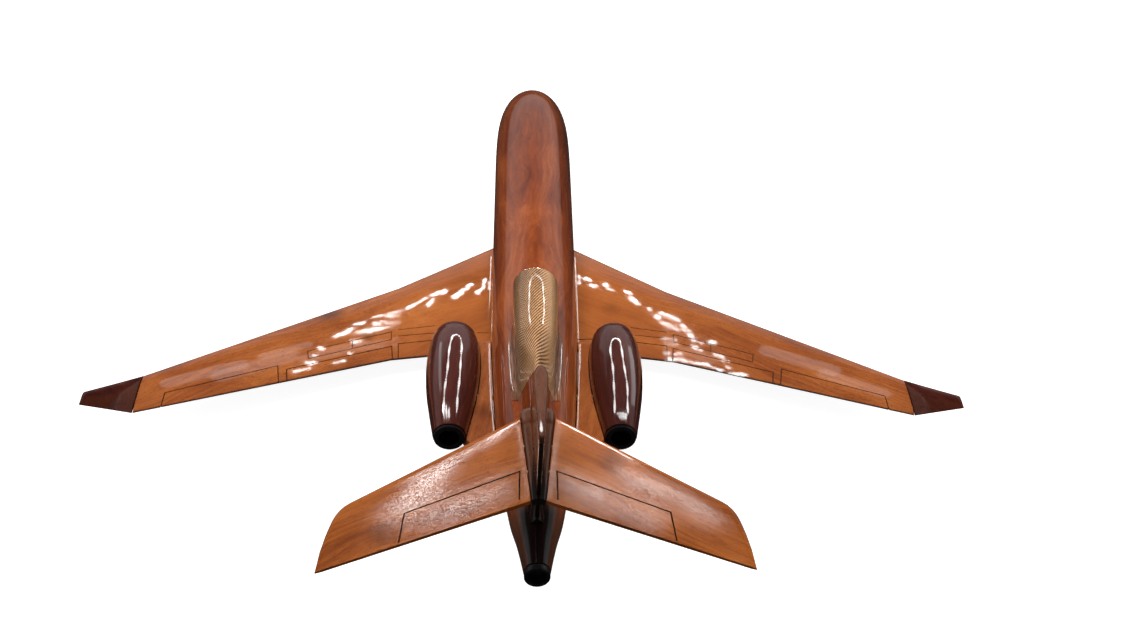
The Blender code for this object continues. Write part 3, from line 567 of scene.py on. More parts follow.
class Tree:
    """The node tree of a material or world."""

    def __init__(self, owner, output="ShaderNodeOutputMaterial"):
        owner.use_nodes = True
        self.owner, self.nodes, self.links = owner, owner.node_tree.nodes, owner.node_tree.links
        self.nodes.clear()
        self.out = self.nodes.new(output)

    def node(self, kind, inputs=None, **props):
        node = self.nodes.new(kind)
        for key, value in props.items():
            setattr(node, key, value)
        for key, value in (inputs or {}).items():
            socket = node.inputs[key]
            if isinstance(value, Signal):
                self.links.new(value.socket, socket)
            else:
                socket.default_value = (*value, 1.0) if socket.type == "RGBA" else value
        return node

    def make(self, kind, inputs=None, output=0, **props):
        return Signal(self, self.node(kind, inputs, **props).outputs[output])

    def show(self, shader):
        self.links.new(shader.socket, self.out.inputs[0])
        return self.owner

    def principled(self, inputs):
        return self.show(self.make("ShaderNodeBsdfPrincipled", inputs))

    def math(self, operation, a, b=0.0, clamp=False):
        return self.make("ShaderNodeMath", {0: a, 1: b}, operation=operation, use_clamp=clamp)

    def coords(self, output="Object"):
        return self.make("ShaderNodeTexCoord", output=output)

    def split(self, vector):
        return [Signal(self, s) for s in self.node("ShaderNodeSeparateXYZ", {0: vector}).outputs]

    def stretched(self, axes, scales):
        """A vector of the axes, each times its scale."""
        parts = [axis * scale for axis, scale in zip(axes, scales)]
        return self.make("ShaderNodeCombineXYZ", dict(enumerate(parts)))

    def noise(self, vector, scale=1.0, detail=2.0, rough=0.5):
        return self.make("ShaderNodeTexNoise", {"Vector": vector, "Scale": scale,
                                                "Detail": detail, "Roughness": rough})

    def ramp(self, factor, *stops):
        """Colour stops are (position, colour)."""
        node = self.node("ShaderNodeValToRGB", {0: factor})
        elements = node.color_ramp.elements
        while len(elements) < len(stops):
            elements.new(1.0)
        for element, (position, colour) in zip(elements, stops):
            element.position = position
            element.color = (*colour, 1.0)
        return Signal(self, node.outputs[0])

    def mix(self, factor, a, b, blend="MIX"):
        return self.make("ShaderNodeMix", {0: factor, 6: a, 7: b}, output=2,
                         data_type="RGBA", blend_type=blend)

    def mix_value(self, factor, a, b):
        return self.make("ShaderNodeMix", {0: factor, 2: a, 3: b}, data_type="FLOAT")

    def bump(self, height, strength, distance, normal=None):
        inputs = {"Height": height, "Strength": strength, "Distance": distance}
        if normal is not None:
            inputs["Normal"] = normal
        return self.make("ShaderNodeBump", inputs)

    def working(self, axes):
        """Working millimetres along each named axis, such as "xy"."""
        raw = dict(zip("xyz", self.split(self.coords())))
        datum = {"x": lambda v: v, "y": lambda v: v + STATION_DATUM,
                 "z": lambda v: v - HEIGHT_DATUM}
        return [datum[axis](raw[axis] * 1000.0) for axis in axes]

    def grain(self, along, up=(0, 0, 1), offset=(0, 0, 0)):
        """Object coordinates in millimetres with X along the grain."""
        fibre = Vector(along).normalized()
        upward = Vector(up)
        side = upward.cross(fibre).normalized()
        upward = fibre.cross(side)
        turn = Matrix((fibre, side, upward)).to_euler()
        return self.make("ShaderNodeMapping", {
            "Vector": self.coords(), "Rotation": turn, "Scale": (1000,) * 3, "Location": offset})


def material_tree(name):
    return Tree(bpy.data.materials.new(name))


def grey(value):
    return (value,) * 3


# ===========================================================================
# painted shade and tone: each takes the wood's tree and colour and returns the new colour
# ===========================================================================
# painted shade colours for the tail cone, pedestal, fin, root blocks and the wings' trailing edges;
# ROOT_GOLD lightens the wing towards its root
CONE_PAINTED_SHADOW, FIN_PAINTED_SHADE = (0.0085, 0.0050, 0.0048), (0.0075, 0.0055, 0.0055)
CONE_FLANK_SHADE, ROOT_GOLD, TRAILING_EDGE_SHADE = (0.085, 0.045, 0.032), (0.50, 0.140, 0.027), \
    (0.018, 0.007, 0.005)


def cone_shade_and_nose(tree, colour):
    """Painted shadow in black along the top of the tail cone under the tailplane, painted shade in
    a duller brown on its flanks, a darker nose.
    """
    x, y, z = tree.working("xyz")
    width = 6.6 - (y - 208.0) * 0.125
    wobble = tree.noise(tree.make("ShaderNodeCombineXYZ", {0: x, 1: y * 0.15, 2: 0.0}), scale=0.6)
    across = abs(x) - width + (wobble - 0.5) * 1.6
    aft = y.span(203.0, 211.0)
    height = fus_centre(215.0)
    above = z.span(height - 4.0, height + 1.0)
    # painted shade: the aft cone under the tailplane turned a duller, darker brown
    colour = tree.mix(aft * 0.55, colour, CONE_FLANK_SHADE)
    # painted shadow and dark reflection of the tailplane, black along the cone's top
    black = aft * across.span(0.7, -0.5, high=0.97) * above
    colour = tree.mix(black, colour, CONE_PAINTED_SHADOW)
    nose = y.span(-30.0, -120.0, high=0.42)
    return tree.mix(nose, colour, tuple(c * 0.55 for c in BODY_TONES[0]))


def block_shade(tree, colour):
    """Painted shade in black that spreads from the fin over the rear of the root blocks."""
    x, y = tree.working("xy")
    edge = y.span(196.0, 230.0, low=0.6, high=3.0)
    black = (abs(x) - edge).span(0.5, -0.4, high=0.96)
    return tree.mix(black, colour, FIN_PAINTED_SHADE)


def pedestal_shadow(tree, colour):
    """Painted shadow on the pedestal's rear end, black like the tail cone under it."""
    y, = tree.working("y")
    return tree.mix(y.span(184.0, 200.0, high=0.96), colour, CONE_PAINTED_SHADOW)


def root_tone_and_edge_shade(tree, colour):
    """The wing runs lighter towards the root; painted shade darkens its rear edge."""
    inner_sweep, outer_sweep = 0.2369, 0.4138       # slopes of the trailing edge
    x, y = tree.working("xy")
    out = abs(x)
    colour = tree.mix(out.span(75.0, 28.0, high=0.36), colour, ROOT_GOLD)
    inner = (out - WING_ROOT_X) * inner_sweep + WING_TE[0][1]
    outer = (out - WING_KINK_X) * outer_sweep + WING_TE[1][1]
    to_edge = tree.math("MAXIMUM", inner, outer) - y
    # painted shade along the trailing edge
    return tree.mix(to_edge.span(0.95, 0.35, high=0.9), colour, TRAILING_EDGE_SHADE)


def fin_edge_shade(tree, colour):
    """Painted shade in black along the fin's trailing edge."""
    y, z = tree.working("yz")
    (y0, z0), (y1, z1) = FIN_TE
    te = (z - z0) * ((y1 - y0) / (z1 - z0)) + y0
    return tree.mix((te - y).span(4.5, 3.0, high=0.97), colour, FIN_PAINTED_SHADE)


# ===========================================================================
# materials
# ===========================================================================
def wood(name, along, tones, up=(0, 0, 1), offset=(0, 0, 0), log=(0, -70.0), wave=7.0,
         bands=0.10, pores=0.75, blotch=0.5, coat=0.05, peel=0.14, pore_sheen=0.12,
         speckle=0.0, dark_spots=(), tone_and_shade=None):
    """Lacquered wood cut from a log.

    tones: dark, mid and light colour. log: the log's heart in (side, up) mm. wave: how far
    the fibres wander. bands: growth layers per mm. pores, blotch: how strongly they show.
    coat: lacquer roughness. peel, pore_sheen: lacquer relief. speckle: how far the lacquer is
    broken up.
    dark_spots: darker patches as (x, y, z, radius, strength) in working mm.
    """
    dark, mid, light = tones
    tree = material_tree(name)
    grain = tree.grain(along, up, offset)
    x, y, z = tree.split(grain)
    # slow waviness of the fibres
    drift_y = tree.noise(grain.scaled((0.011, 0.028, 0.028)))
    drift_z = tree.noise(grain.scaled((0.016, 0.03, 0.03), (31, 7, 3)))
    y = y + (drift_y - 0.5) * (wave * 2.2)
    z = z + (drift_z - 0.5) * (wave * 1.6)
    # distance from the log's heart gives the growth layers
    side, rise = y - log[0], z - log[1]
    ring = tree.math("SQRT", side * side + rise * rise)
    # noises stretched along the grain, scales in cycles per mm
    layer_axes = (x, ring, y)
    broad = tree.noise(tree.stretched(layer_axes, (0.004, bands, 0.012)), detail=3.0, rough=0.55)
    fine = tree.noise(tree.stretched(layer_axes, (0.03, 1.15, 0.30)), detail=4.0, rough=0.62)
    fibre = tree.noise(tree.stretched((x, y, z), (0.22, 3.4, 3.4)), detail=3.0, rough=0.6)
    pore_place = tree.stretched((x, y, z), (0.50, 3.3, 3.3)).scaled((1, 1, 1), (17.3, 5.1, 9.7))
    pore_noise = tree.noise(pore_place, rough=0.7)
    pore = pore_noise.span(0.57, 0.70)
    cloud = tree.noise(grain.scaled((0.022, 0.05, 0.05), (3.3, 8.8, 1.1)), detail=3.0, rough=0.6)
    # the tone is layers with more contrast, then blotches and fibres
    tone = (broad * 0.55 + fine * 0.45 - 0.5) * 2.1 + 0.5
    tone = tone + (cloud - 0.5) * (blotch * 1.6)
    tone = tree.math("ADD", tone, (fibre - 0.5) * 0.45, clamp=True)
    colour = tree.ramp(tone, (0.0, dark), (0.48, mid), (1.0, light))
    colour = tree.mix(pore * pores, colour, (dark[0] * 0.5, dark[1] * 0.42, dark[2] * 0.4))
    # darker patches at the listed places
    if dark_spots:
        place = tree.coords()
        warp = tree.noise(place.scaled((60, 60, 60)), detail=3.0, rough=0.6)
        for *centre, radius, strength in dark_spots:
            far = tree.make("ShaderNodeVectorMath", {0: place, 1: tuple(point(*centre))},
                            output="Value", operation="DISTANCE")
            far = far * (0.45 + warp * 1.1)
            mask = far.span(radius * MM, radius * MM * 0.15, high=strength)
            colour = tree.mix(mask, colour, tuple(c * 0.42 for c in dark))
    # painted shade, and on some pieces a tone change, laid over the wood's colour
    if tone_and_shade:
        colour = tone_and_shade(tree, colour)
    coat_weight = 1.0
    if speckle:
        grit = tree.noise(grain.scaled((2.1, 2.6, 2.6), (5.0, 1.0, 3.0)), rough=0.75)
        grit = grit + (pore_noise - 0.5) * -0.5
        coat_weight = grit.span(0.51 - 0.05 * speckle, 0.56, low=1.0 - 0.97 * speckle)
    # relief distances are metres
    base_normal = tree.bump(pore * -1.0 + fibre * 0.35, strength=0.5, distance=0.00004)
    skin = tree.noise(grain.scaled((0.16, 0.16, 0.16)))
    coat_normal = tree.bump(skin, strength=1.0, distance=0.000055 * peel)
    coat_normal = tree.bump(pore_noise * -1.0, strength=1.0, distance=0.000012 * pore_sheen,
                            normal=coat_normal)
    return tree.principled({
        "Base Color": colour, "Roughness": fibre.span(0.3, 0.7, low=0.39, high=0.55),
        "Normal": base_normal, "Specular IOR Level": 0.05, "Coat Weight": coat_weight,
        "Coat Roughness": cloud.span(0.35, 0.7, low=coat * 0.75, high=coat * 1.35),
        "Coat Normal": coat_normal, "Coat IOR": 1.5})


def herringbone(name):
    """Golden wood with fine slanting figure, crossed at the sides."""
    tree = material_tree(name)
    grain = tree.grain((0, 1, 0))
    x, y, _ = tree.split(grain)         # x along the duct, y across it

    def lines(phase):
        return (tree.math("SINE", phase) + 1.0) * 0.5

    warp = tree.noise(grain.scaled((0.10, 0.16, 0.16)))
    grit = tree.noise(grain.scaled((1.1, 2.3, 2.3)), detail=3.0, rough=0.65)
    # line directions and frequencies, roughened by the noises
    slanting = lines((x * 0.55 + y * 0.83) * 6.2 + warp * 5.0 + grit * 3.6)
    crossing = lines((x * 0.95 + y * -0.35) * 5.6 + grit * 7.0)
    figure = tree.mix_value(abs(y).span(3.6, 6.0), slanting, crossing)
    figure = figure * 0.66 + grit * 0.55
    colour = tree.ramp(figure, (0.26, (0.040, 0.014, 0.006)), (0.46, (0.21, 0.085, 0.030)),
                       (0.70, (0.50, 0.245, 0.098)), (0.95, (0.74, 0.46, 0.24)))
    cloud = tree.noise(grain.scaled((0.03, 0.10, 0.10)))
    colour = tree.mix(cloud.span(0.4, 0.7, high=0.45), colour, (0.17, 0.085, 0.035), "MULTIPLY")
    # painted shade on the left and painted light on the right, brown rim and foot outside the arch
    x, y, z = tree.working("xyz")
    aft = tree.math("MAXIMUM", (y - 96.0) / 55.0, 0.0)
    arch = 9.35 - tree.math("POWER", aft, 1.5) * 2.3
    beyond = abs(x) - arch
    colour = tree.mix(x.span(1.5, 5.5, high=0.42), colour, (0.060, 0.034, 0.020))
    colour = tree.mix(x.span(-1.5, -5.5, high=0.30), colour, (0.74, 0.42, 0.20))
    colour = tree.mix(beyond.span(-2.6, 0.0, high=0.45), colour, (0.10, 0.046, 0.024))
    streak = tree.noise(tree.stretched((x, y, z), (1.6, 0.10, 1.6)), detail=4.0, rough=0.65)
    brown = tree.ramp(streak, (0.34, (0.050, 0.017, 0.009)), (0.50, (0.15, 0.055, 0.026)),
                      (0.66, (0.30, 0.14, 0.075)))
    colour = tree.mix(beyond.span(-0.25, 0.15), colour, brown)
    skin = tree.noise(grain.scaled((0.2, 0.2, 0.2)))
    return tree.principled({
        "Base Color": colour, "Roughness": 0.4, "Specular IOR Level": 0.12,
        "Normal": tree.bump(figure, strength=0.4, distance=0.00003),
        "Coat Weight": 1.0, "Coat Roughness": 0.05,
        "Coat Normal": tree.bump(skin, strength=1.0, distance=0.000006)})


def plain(name, dark, light, rough, scale, metal=0.0, coat=0.0, along=(0, 1, 0)):
    """A finish with fine cloudy or brushed variation."""
    tree = material_tree(name)
    noise = tree.noise(tree.grain(along).scaled(scale), detail=4.0, rough=0.6)
    return tree.principled({
        "Base Color": tree.ramp(noise, (0.3, dark), (0.7, light)),
        "Roughness": noise.span(0.3, 0.7, low=rough * 0.8, high=rough * 1.3),
        "Metallic": metal, "Normal": tree.bump(noise, strength=0.5, distance=0.00002),
        "Coat Weight": coat, "Coat Roughness": 0.05})


# (dark, mid, light)
WING_TONES = (0.105, 0.021, 0.0052), (0.262, 0.0670, 0.0148), (0.42, 0.130, 0.029)
BODY_TONES = (0.074, 0.012, 0.0038), (0.200, 0.0395, 0.0098), (0.365, 0.089, 0.0190)
TAIL_TONES = (0.098, 0.019, 0.0030), (0.238, 0.0580, 0.0075), (0.39, 0.112, 0.017)
PYLON_TONES = (0.092, 0.020, 0.0060), (0.220, 0.0560, 0.0150), (0.35, 0.105, 0.030)
DARK_TONES = (0.020, 0.0050, 0.0040), (0.050, 0.0105, 0.0078), (0.085, 0.0185, 0.0120)
CAP_TONES = (0.040, 0.015, 0.010), (0.085, 0.032, 0.019), (0.16, 0.066, 0.040)
AFT = (0, 1, 0)

# settings shared by the left and right pieces
WING_WOOD = dict(tones=WING_TONES, wave=11, blotch=0.75, coat=0.042, tone_and_shade=root_tone_and_edge_shade)
BLOCK_WOOD = dict(along=AFT, tone_and_shade=block_shade, tones=(
    (0.034, 0.012, 0.006), (0.092, 0.034, 0.018), (0.20, 0.082, 0.045)))
STAB_WOOD = dict(tones=TAIL_TONES, wave=8, pores=0.6, blotch=0.75, peel=0.12, pore_sheen=0.45)
WINGLET_WOOD = dict(tones=(*DARK_TONES[:2], (0.11, 0.022, 0.014)), pores=0.4)
NACELLE_WOOD = dict(along=AFT, tones=DARK_TONES, pores=0.4, blotch=0.3, coat=0.035, peel=0.08,
                    pore_sheen=0.2)

MAT = {
    "fuselage": wood("mahogany_fuselage", (0.04, 1, 0.02), BODY_TONES, log=(6, -34), wave=9,
                     bands=0.13, pores=0.45, blotch=0.6, coat=0.06, peel=0.12, tone_and_shade=cone_shade_and_nose),
    "belly_fairing": wood("mahogany_belly", AFT, BODY_TONES, offset=(40, 12, 0)),
    "left_wing": wood("mahogany_left_wing", (0.83, 0.56, 0.03), offset=(0, 20, 5), log=(30, -60),
                      dark_spots=((92.0, 61.0, -10.0, 8.0, 0.75), (73.0, 76.0, -10.0, 4.0, 0.5)),
                      **WING_WOOD),
    "right_wing": wood("mahogany_right_wing", (-0.83, 0.56, 0.03), offset=(70, 55, 9),
                       log=(-30, -66), dark_spots=((-36.0, 52.0, -12.0, 6.0, 0.5),), **WING_WOOD),
    "left_pylon": wood("mahogany_left_pylon", (0.2, 1, 0), PYLON_TONES, offset=(12, 31, 9),
                       blotch=0.9, dark_spots=((21.0, 142.0, 3.0, 7.0, 0.5),)),
    "right_pylon": wood("mahogany_right_pylon", (0.25, 1, 0), (PYLON_TONES[1], *WING_TONES[1:]),
                        offset=(92, 3, 40), blotch=0.9),
    "fin_pedestal": wood("mahogany_pedestal", AFT, BODY_TONES, offset=(9, 9, 70),
                         tone_and_shade=pedestal_shadow),
    "fin": wood("mahogany_fin", (0, 0.66, 0.75), (*BODY_TONES[:2], WING_TONES[2]), up=(1, 0, 0),
                offset=(4, 77, 3), tone_and_shade=fin_edge_shade),
    "left_root_block": wood("mahogany_left_block", offset=(3, 2, 90), **BLOCK_WOOD),
    "right_root_block": wood("mahogany_right_block", offset=(33, 2, 60), **BLOCK_WOOD),
    "left_stabiliser": wood("mahogany_left_stabiliser", (0.86, 0.5, 0), offset=(11, 44, 8),
                            log=(0, -46), coat=0.11, speckle=1.0,
                            dark_spots=((52.0, 246.0, 41.0, 7.0, 0.45),), **STAB_WOOD),
    "right_stabiliser": wood("mahogany_right_stabiliser", (-0.86, 0.5, 0), offset=(61, 14, 28),
                             log=(12, -52), coat=0.12, speckle=0.8,
                             dark_spots=((-26.0, 212.0, 42.0, 7.0, 0.45),), **STAB_WOOD),
    "left_winglet": wood("dark_left_winglet", (0.9, 0.6, 0.2), offset=(1, 60, 5), **WINGLET_WOOD),
    "right_winglet": wood("dark_right_winglet", (-0.9, 0.6, 0.2), offset=(81, 6, 5),
                          **WINGLET_WOOD),
    "left_nacelle": wood("dark_left_nacelle", offset=(5, 0, 30), **NACELLE_WOOD),
    "right_nacelle": wood("dark_right_nacelle", offset=(75, 0, 90), **NACELLE_WOOD),
    "fin_cap": wood("dark_fin_cap", (0, 1, 0.1), CAP_TONES, offset=(5, 5, 5), pores=0.4),
    "intake_duct": herringbone("golden_figured_wood"),
    "tail_outlet": plain("black_lacquer_finish", (0.0028, 0.0034, 0.004),
                         (0.006, 0.0065, 0.0075), rough=0.55, coat=0.35, scale=grey(0.35)),
    "plug": plain("black_matt_finish", grey(0.003), (0.008, 0.008, 0.009), rough=0.6,
                  scale=grey(0.8)),
    "brass": plain("brushed_brass", (0.50, 0.32, 0.11), (0.78, 0.58, 0.27), rough=0.25,
                   metal=1.0, scale=(0.2, 4.0, 4.0)),
    "dowel": plain("birch_dowel", (0.42, 0.26, 0.13), (0.66, 0.46, 0.27), rough=0.6,
                   scale=(0.15, 3.0, 3.0), along=(1, 0, 0)),
    "scribe": plain("scribed_line", (0.0012, 0.0006, 0.0004), (0.004, 0.0018, 0.0012),
                    rough=0.8, scale=grey(2.0)),
}
for _, hand in SIDES:
    MAT[hand + "_intake_lip"] = MAT[hand + "_nacelle"]
    MAT[hand + "_exhaust_nozzle"] = MAT["tail_outlet"]

# material slot of each piece, left and right alike
SLOTS = {
    **dict.fromkeys(("fuselage", "belly_fairing", "fin_pedestal", "fin", "wing", "pylon",
                     "root_block", "stabiliser"), "mahogany"),
    **dict.fromkeys(("winglet", "nacelle", "intake_lip", "fin_cap"), "dark_wood"),
    **dict.fromkeys(("exhaust_nozzle", "tail_outlet"), "black_lacquer"),
    "intake_duct": "figured_wood",
}


def dress(ob, angle=38.0):
    """Finish a piece named after the CAD node it stands for, plus "_fine"."""
    node = ob.name.removesuffix("_fine")
    materials = ob.data.materials
    if len(materials) == 2:             # a scribed piece already has its line slot
        materials[0] = MAT[node]
    else:
        materials.clear()
        materials.append(MAT[node])
    ob.data.shade_smooth()
    ob.data.set_sharp_from_angle(angle=math.radians(angle))
    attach(ob, "root")
    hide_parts(node)


# ===========================================================================
# cutters that several pieces share
# ===========================================================================
def wing_bores(side):
    return [rod((side * inner, y, wing_mid(inner)), (side * outer, y, wing_mid(outer)),
                DOWEL_BORE_R) for y, inner, outer in WING_BORES]


def pylon_bore(side):
    y, z, inner, outer = PYLON_BORE
    return rod((side * inner, y, z), (side * outer, y, z), DOWEL_BORE_R)


def fin_bores():
    return [rod((0, y, low), (0, y, high), FIN_BORE_R, 14) for y, low, high in FIN_BORES]


def socket_bore():
    return rod((0, SOCKET_STATION, BELLY_LOW - 3.0),
               (0, SOCKET_STATION, BELLY_LOW + SOCKET_DEPTH + 0.4), SOCKET_OUTER + GAP, 32)


FUSELAGE_SPACE = loft("fuselage_space", [
    fus_ring(y, GAP) for y in [-60.0, -38.0, 0.0, 84.0] + spread(86, TAIL_END - 1, 2.6)
    + [TAIL_END + 0.4]])
FIN_SPACE = loft("fin_space", [
    fin_ring(FIN_FOOT_LEVELS[0][0] - GAP, GAP, z_rear=FIN_FOOT_LEVELS[0][1] - GAP)]
    + [fin_ring(z, GAP, z_rear=z_rear) for z, z_rear in fin_foot_levels()[1:]])
FIN_BORE = joined(fin_bores())
CAP_BORE = joined([rod((0, y, FIN_CAP_Z - 4.4), (0, y, FIN_CAP_Z + 2.9), radius + GAP)
                   for y, radius in CAP_PINS])
TAIL_BORE = joined([rod((-TAIL_BORE_X, y, TAILPLANE_Z), (TAIL_BORE_X, y, TAILPLANE_Z),
                        TAIL_BORE_R) for y in TAIL_BORE_STATIONS])


# ===========================================================================
# fuselage and belly fairing
# ===========================================================================
def build_fuselage():
    nose = [0.0006 + (1 - 0.0006) * (k / 46) ** 2.4 for k in range(47)]   # closer at the tip
    stations = [NOSE_STATION + NOSE_LENGTH * f for f in nose] + \
        spread(NOSE_STATION + NOSE_LENGTH, TAIL_START - 1, 6.0)[1:] + \
        spread(TAIL_START, TAIL_END - 0.5, 2.6)
    rings = [fus_ring(stations[0], shrink=s) for s in (0.3, 0.75)]
    rings += [fus_ring(y) for y in stations]
    rings += [fus_ring(TAIL_END - 0.15), fus_ring(TAIL_END, -0.25)]
    fuselage = loft("fuselage_fine", rings)
    bores = []
    for side, _ in SIDES:
        bores += wing_bores(side) + [pylon_bore(side)]
    bores += fin_bores() + [socket_bore()]
    bores.append(rod((0, TAIL_END - 4.5, OUTLET_Z), (0, TAIL_END + 6, OUTLET_Z), 3.7, 48))
    carve(fuselage, joined(bores))
    dress(fuselage)


def belly_ring(z, inset=0.0, n=14):
    """A rectangle with round corners, seen in plan."""
    half, front, rear = BELLY_HALF - inset, BELLY_FRONT + inset, BELLY_REAR - inset
    r = BELLY_CORNER - inset
    ring = []
    for x, y, start in ((half - r, rear - r, 0), (-half + r, rear - r, 90),
                        (-half + r, front + r, 180), (half - r, front + r, 270)):
        for i in range(n):
            a = math.radians(start + 90 * i / (n - 1))
            ring.append(point(x + r * math.cos(a), y + r * math.sin(a), z))
    return ring


def build_belly():
    rings = []
    for k in range(10):
        a = math.radians(90 * k / 9)
        rings.append(belly_ring(BELLY_LOW + BELLY_EDGE_DROP * (1 - math.cos(a)),
                                BELLY_EDGE_IN * (1 - math.sin(a))))
    belly = loft("belly_fairing_fine", rings + [belly_ring(-8.0)])
    carve(belly, FUSELAGE_SPACE, joined([socket_bore()] + wing_bores(1) + wing_bores(-1)))
    dress(belly)


# ===========================================================================
# wings and winglets
# ===========================================================================
SURFACE_LINE, PANEL_LINE = 0.56, 0.48     # groove widths
# scribed lines in plan: (points, width, closed)
WING_LINES = (
    (((109.2, 98.4), (151.8, 118.7), (152.1, 127.6)), SURFACE_LINE, False),
    (((104.3, 107.6), (105.3, 100.1), (62.5, 81.2), (61.6, 90.3)), SURFACE_LINE, False),
    (((97.9, 88.0), (63.3, 72.0), (63.0, 77.0), (97.0, 92.8)), PANEL_LINE, True),
    (((59.2, 89.5), (59.8, 79.4), (43.7, 75.5)), SURFACE_LINE, False),
    (((60.4, 70.3), (44.1, 66.1)), PANEL_LINE, False),
    (((60.1, 74.4), (43.9, 70.9)), PANEL_LINE, False),
)
ROOT_LINES = {"left": ((25.5, 69.1), (20.2, 68.7)), "right": ((26.8, 72.7), (20.2, 72.4))}
# lines that meet the others, cut in a second pass
MEETING_LINES = ((((109.2, 98.4), (107.6, 108.9)), SURFACE_LINE, False),
                 (((79.58, 79.85), (79.25, 84.15)), PANEL_LINE, False))


def wing_grooves(lines, side):
    return joined([groove(points, wing_top, side, width=width, closed=closed)
                   for points, width, closed in lines])


def build_wing(side, hand, pin):
    rings = []
    for x in spread(WING_ROOT_X, WING_KINK_X, 2.6) + \
            spread(WING_KINK_X, WING_TIP_X - 0.2, 2.6)[1:] + [WING_TIP_X]:
        le = linear(WING_LE, x)
        chord, thick = linear(WING_TE, x) - le, wing_thick(x)
        rings.append([point(side * x, le + c * chord, wing_mid(x) + h * thick * chord * 0.5)
                      for c, h in WING_FOIL])
    wing = loft(hand + "_wing_fine", rings)
    carve(wing, FUSELAGE_SPACE, joined(wing_bores(side)))
    carve(wing, pin)
    lines = WING_LINES + ((ROOT_LINES[hand], PANEL_LINE, False),)
    carve(wing, wing_grooves(lines, side), scribed=True)
    carve(wing, wing_grooves(MEETING_LINES, side), scribed=True)
    dress(wing)


def winglet_section(f, side, squeeze=1.0):
    """The section at fraction f of the way out; squeeze thins it to round the tip."""
    x0, z0 = WING_TIP_X + GAP, wing_mid(WING_TIP_X)
    tip_x, tip_le, tip_te, tip_z = WINGLET_TIP
    le = WING_LE[-1][1] + (tip_le - WING_LE[-1][1]) * f
    te = WING_TE[-1][1] + (tip_te - WING_TE[-1][1]) * f
    x, z = x0 + (tip_x - x0) * f, z0 + (tip_z - z0) * f
    tilt = math.atan2(tip_z - z0, tip_x - x0) * min(1.0, f * 2.5)
    thick = TIP_THICK + (WINGLET_THICK - TIP_THICK) * f
    mid = (le + te) / 2
    cut_back = 1.0 - (1.0 - squeeze) * 0.16
    section = []
    for c, h in WING_FOIL:
        rise = h * thick * (te - le) * 0.5 * squeeze
        y = mid + (le + c * (te - le) - mid) * cut_back
        section.append(point(side * (x - rise * math.sin(tilt)), y, z + rise * math.cos(tilt)))
    return section


def build_winglet(side, hand, pin):
    body = 0.975                        # the rest is the rounded tip
    sections = [winglet_section(k / 26 * body, side) for k in range(27)]
    for k in range(1, 7):
        a = math.radians(90 * k / 6.5)
        sections.append(winglet_section(body + 0.025 * math.sin(a), side, math.cos(a)))
    winglet = loft(hand + "_winglet_fine", sections)
    carve(winglet, pin)
    dress(winglet)


def wing_pin(side):
    z = wing_mid(WING_TIP_X)
    return rod((side * (WING_TIP_X - 4.5), WING_PIN_STATION - 0.14, z - 0.19),
               (side * (WING_TIP_X + 2.1), WING_PIN_STATION + 1.74, z + 0.39), 0.75)


# ===========================================================================
# side engines; turned profiles are (station, radius)
# ===========================================================================
NAC_SKIN = [(y, smooth(NAC_PROFILE, y)) for y in spread(NAC_FRONT, NAC_REAR, 1.2)]


def make_nacelle(hand, centre):
    seat, tail_bore = INTAKE_R + 0.9, 4.9
    return turned(hand + "_nacelle_fine", [
        (NAC_FRONT + INTAKE_DEPTH, 0.0), (NAC_FRONT + INTAKE_DEPTH, seat), (NAC_FRONT, seat)]
        + NAC_SKIN + [(NAC_REAR, tail_bore), (NAC_REAR - NOZZLE_DEPTH, tail_bore),
                      (NAC_REAR - NOZZLE_DEPTH, 0.0)], centre, soft=0.18)


def make_intake_lip(hand, centre):
    return turned(hand + "_intake_lip_fine", [
        (NAC_FRONT - GAP, 9.2), (NAC_FRONT - GAP, INTAKE_R + 0.6),
        (NAC_FRONT + 3.0, INTAKE_R + 0.6), (NAC_FRONT + 3.0, INTAKE_R),
        (LIP_FRONT + 1.3, INTAKE_R), (LIP_FRONT + 0.4, INTAKE_R + 0.35),
        (LIP_FRONT, INTAKE_R + 0.95), (LIP_FRONT + 0.3, INTAKE_R + 1.6),
        (LIP_FRONT + 1.2, 8.85), (NAC_FRONT - GAP, 9.2)], centre, soft=0.6)


def make_nozzle(hand, centre):
    floor_station = NAC_REAR - NOZZLE_DEPTH
    return turned(hand + "_exhaust_nozzle_fine", [
        (NAC_REAR + GAP, 4.6), (NAC_REAR + GAP, 6.35), (NAC_REAR + 1.3, 6.15),
        (NAC_REAR + 1.5, 5.95), (NAC_REAR + 1.5, NOZZLE_BORE + 0.2),
        (NAC_REAR + 1.2, NOZZLE_BORE), (floor_station + 2.0, NOZZLE_BORE),
        (floor_station + 2.0, 0.0), (floor_station + 0.5, 0.0),
        (floor_station + 0.5, 4.6), (NAC_REAR + GAP, 4.6)], centre, soft=0.25)


def make_pylon(side, hand):
    outline = [(8.0, PYLON_FRONT), (29.0, PYLON_FRONT), (30.0, PYLON_REAR - 11.0),
               (28.0, PYLON_REAR - 5.0), (25.0, PYLON_REAR - 1.5), (22.0, PYLON_REAR),
               (8.0, PYLON_REAR)]
    arc = [math.radians(90 * k / 5) for k in range(6)]
    r = PYLON_EDGE_R
    profile = [(PYLON_LOW + r * (1 - math.cos(a)), r * (1 - math.sin(a))) for a in arc]
    profile += [(PYLON_HIGH - r * (1 - math.sin(a)), r * (1 - math.cos(a))) for a in arc]
    return loft(hand + "_pylon_fine", [
        [point(side * x, y + inset * (1 if y < 110 else -1), z) for x, y in outline]
        for z, inset in profile])


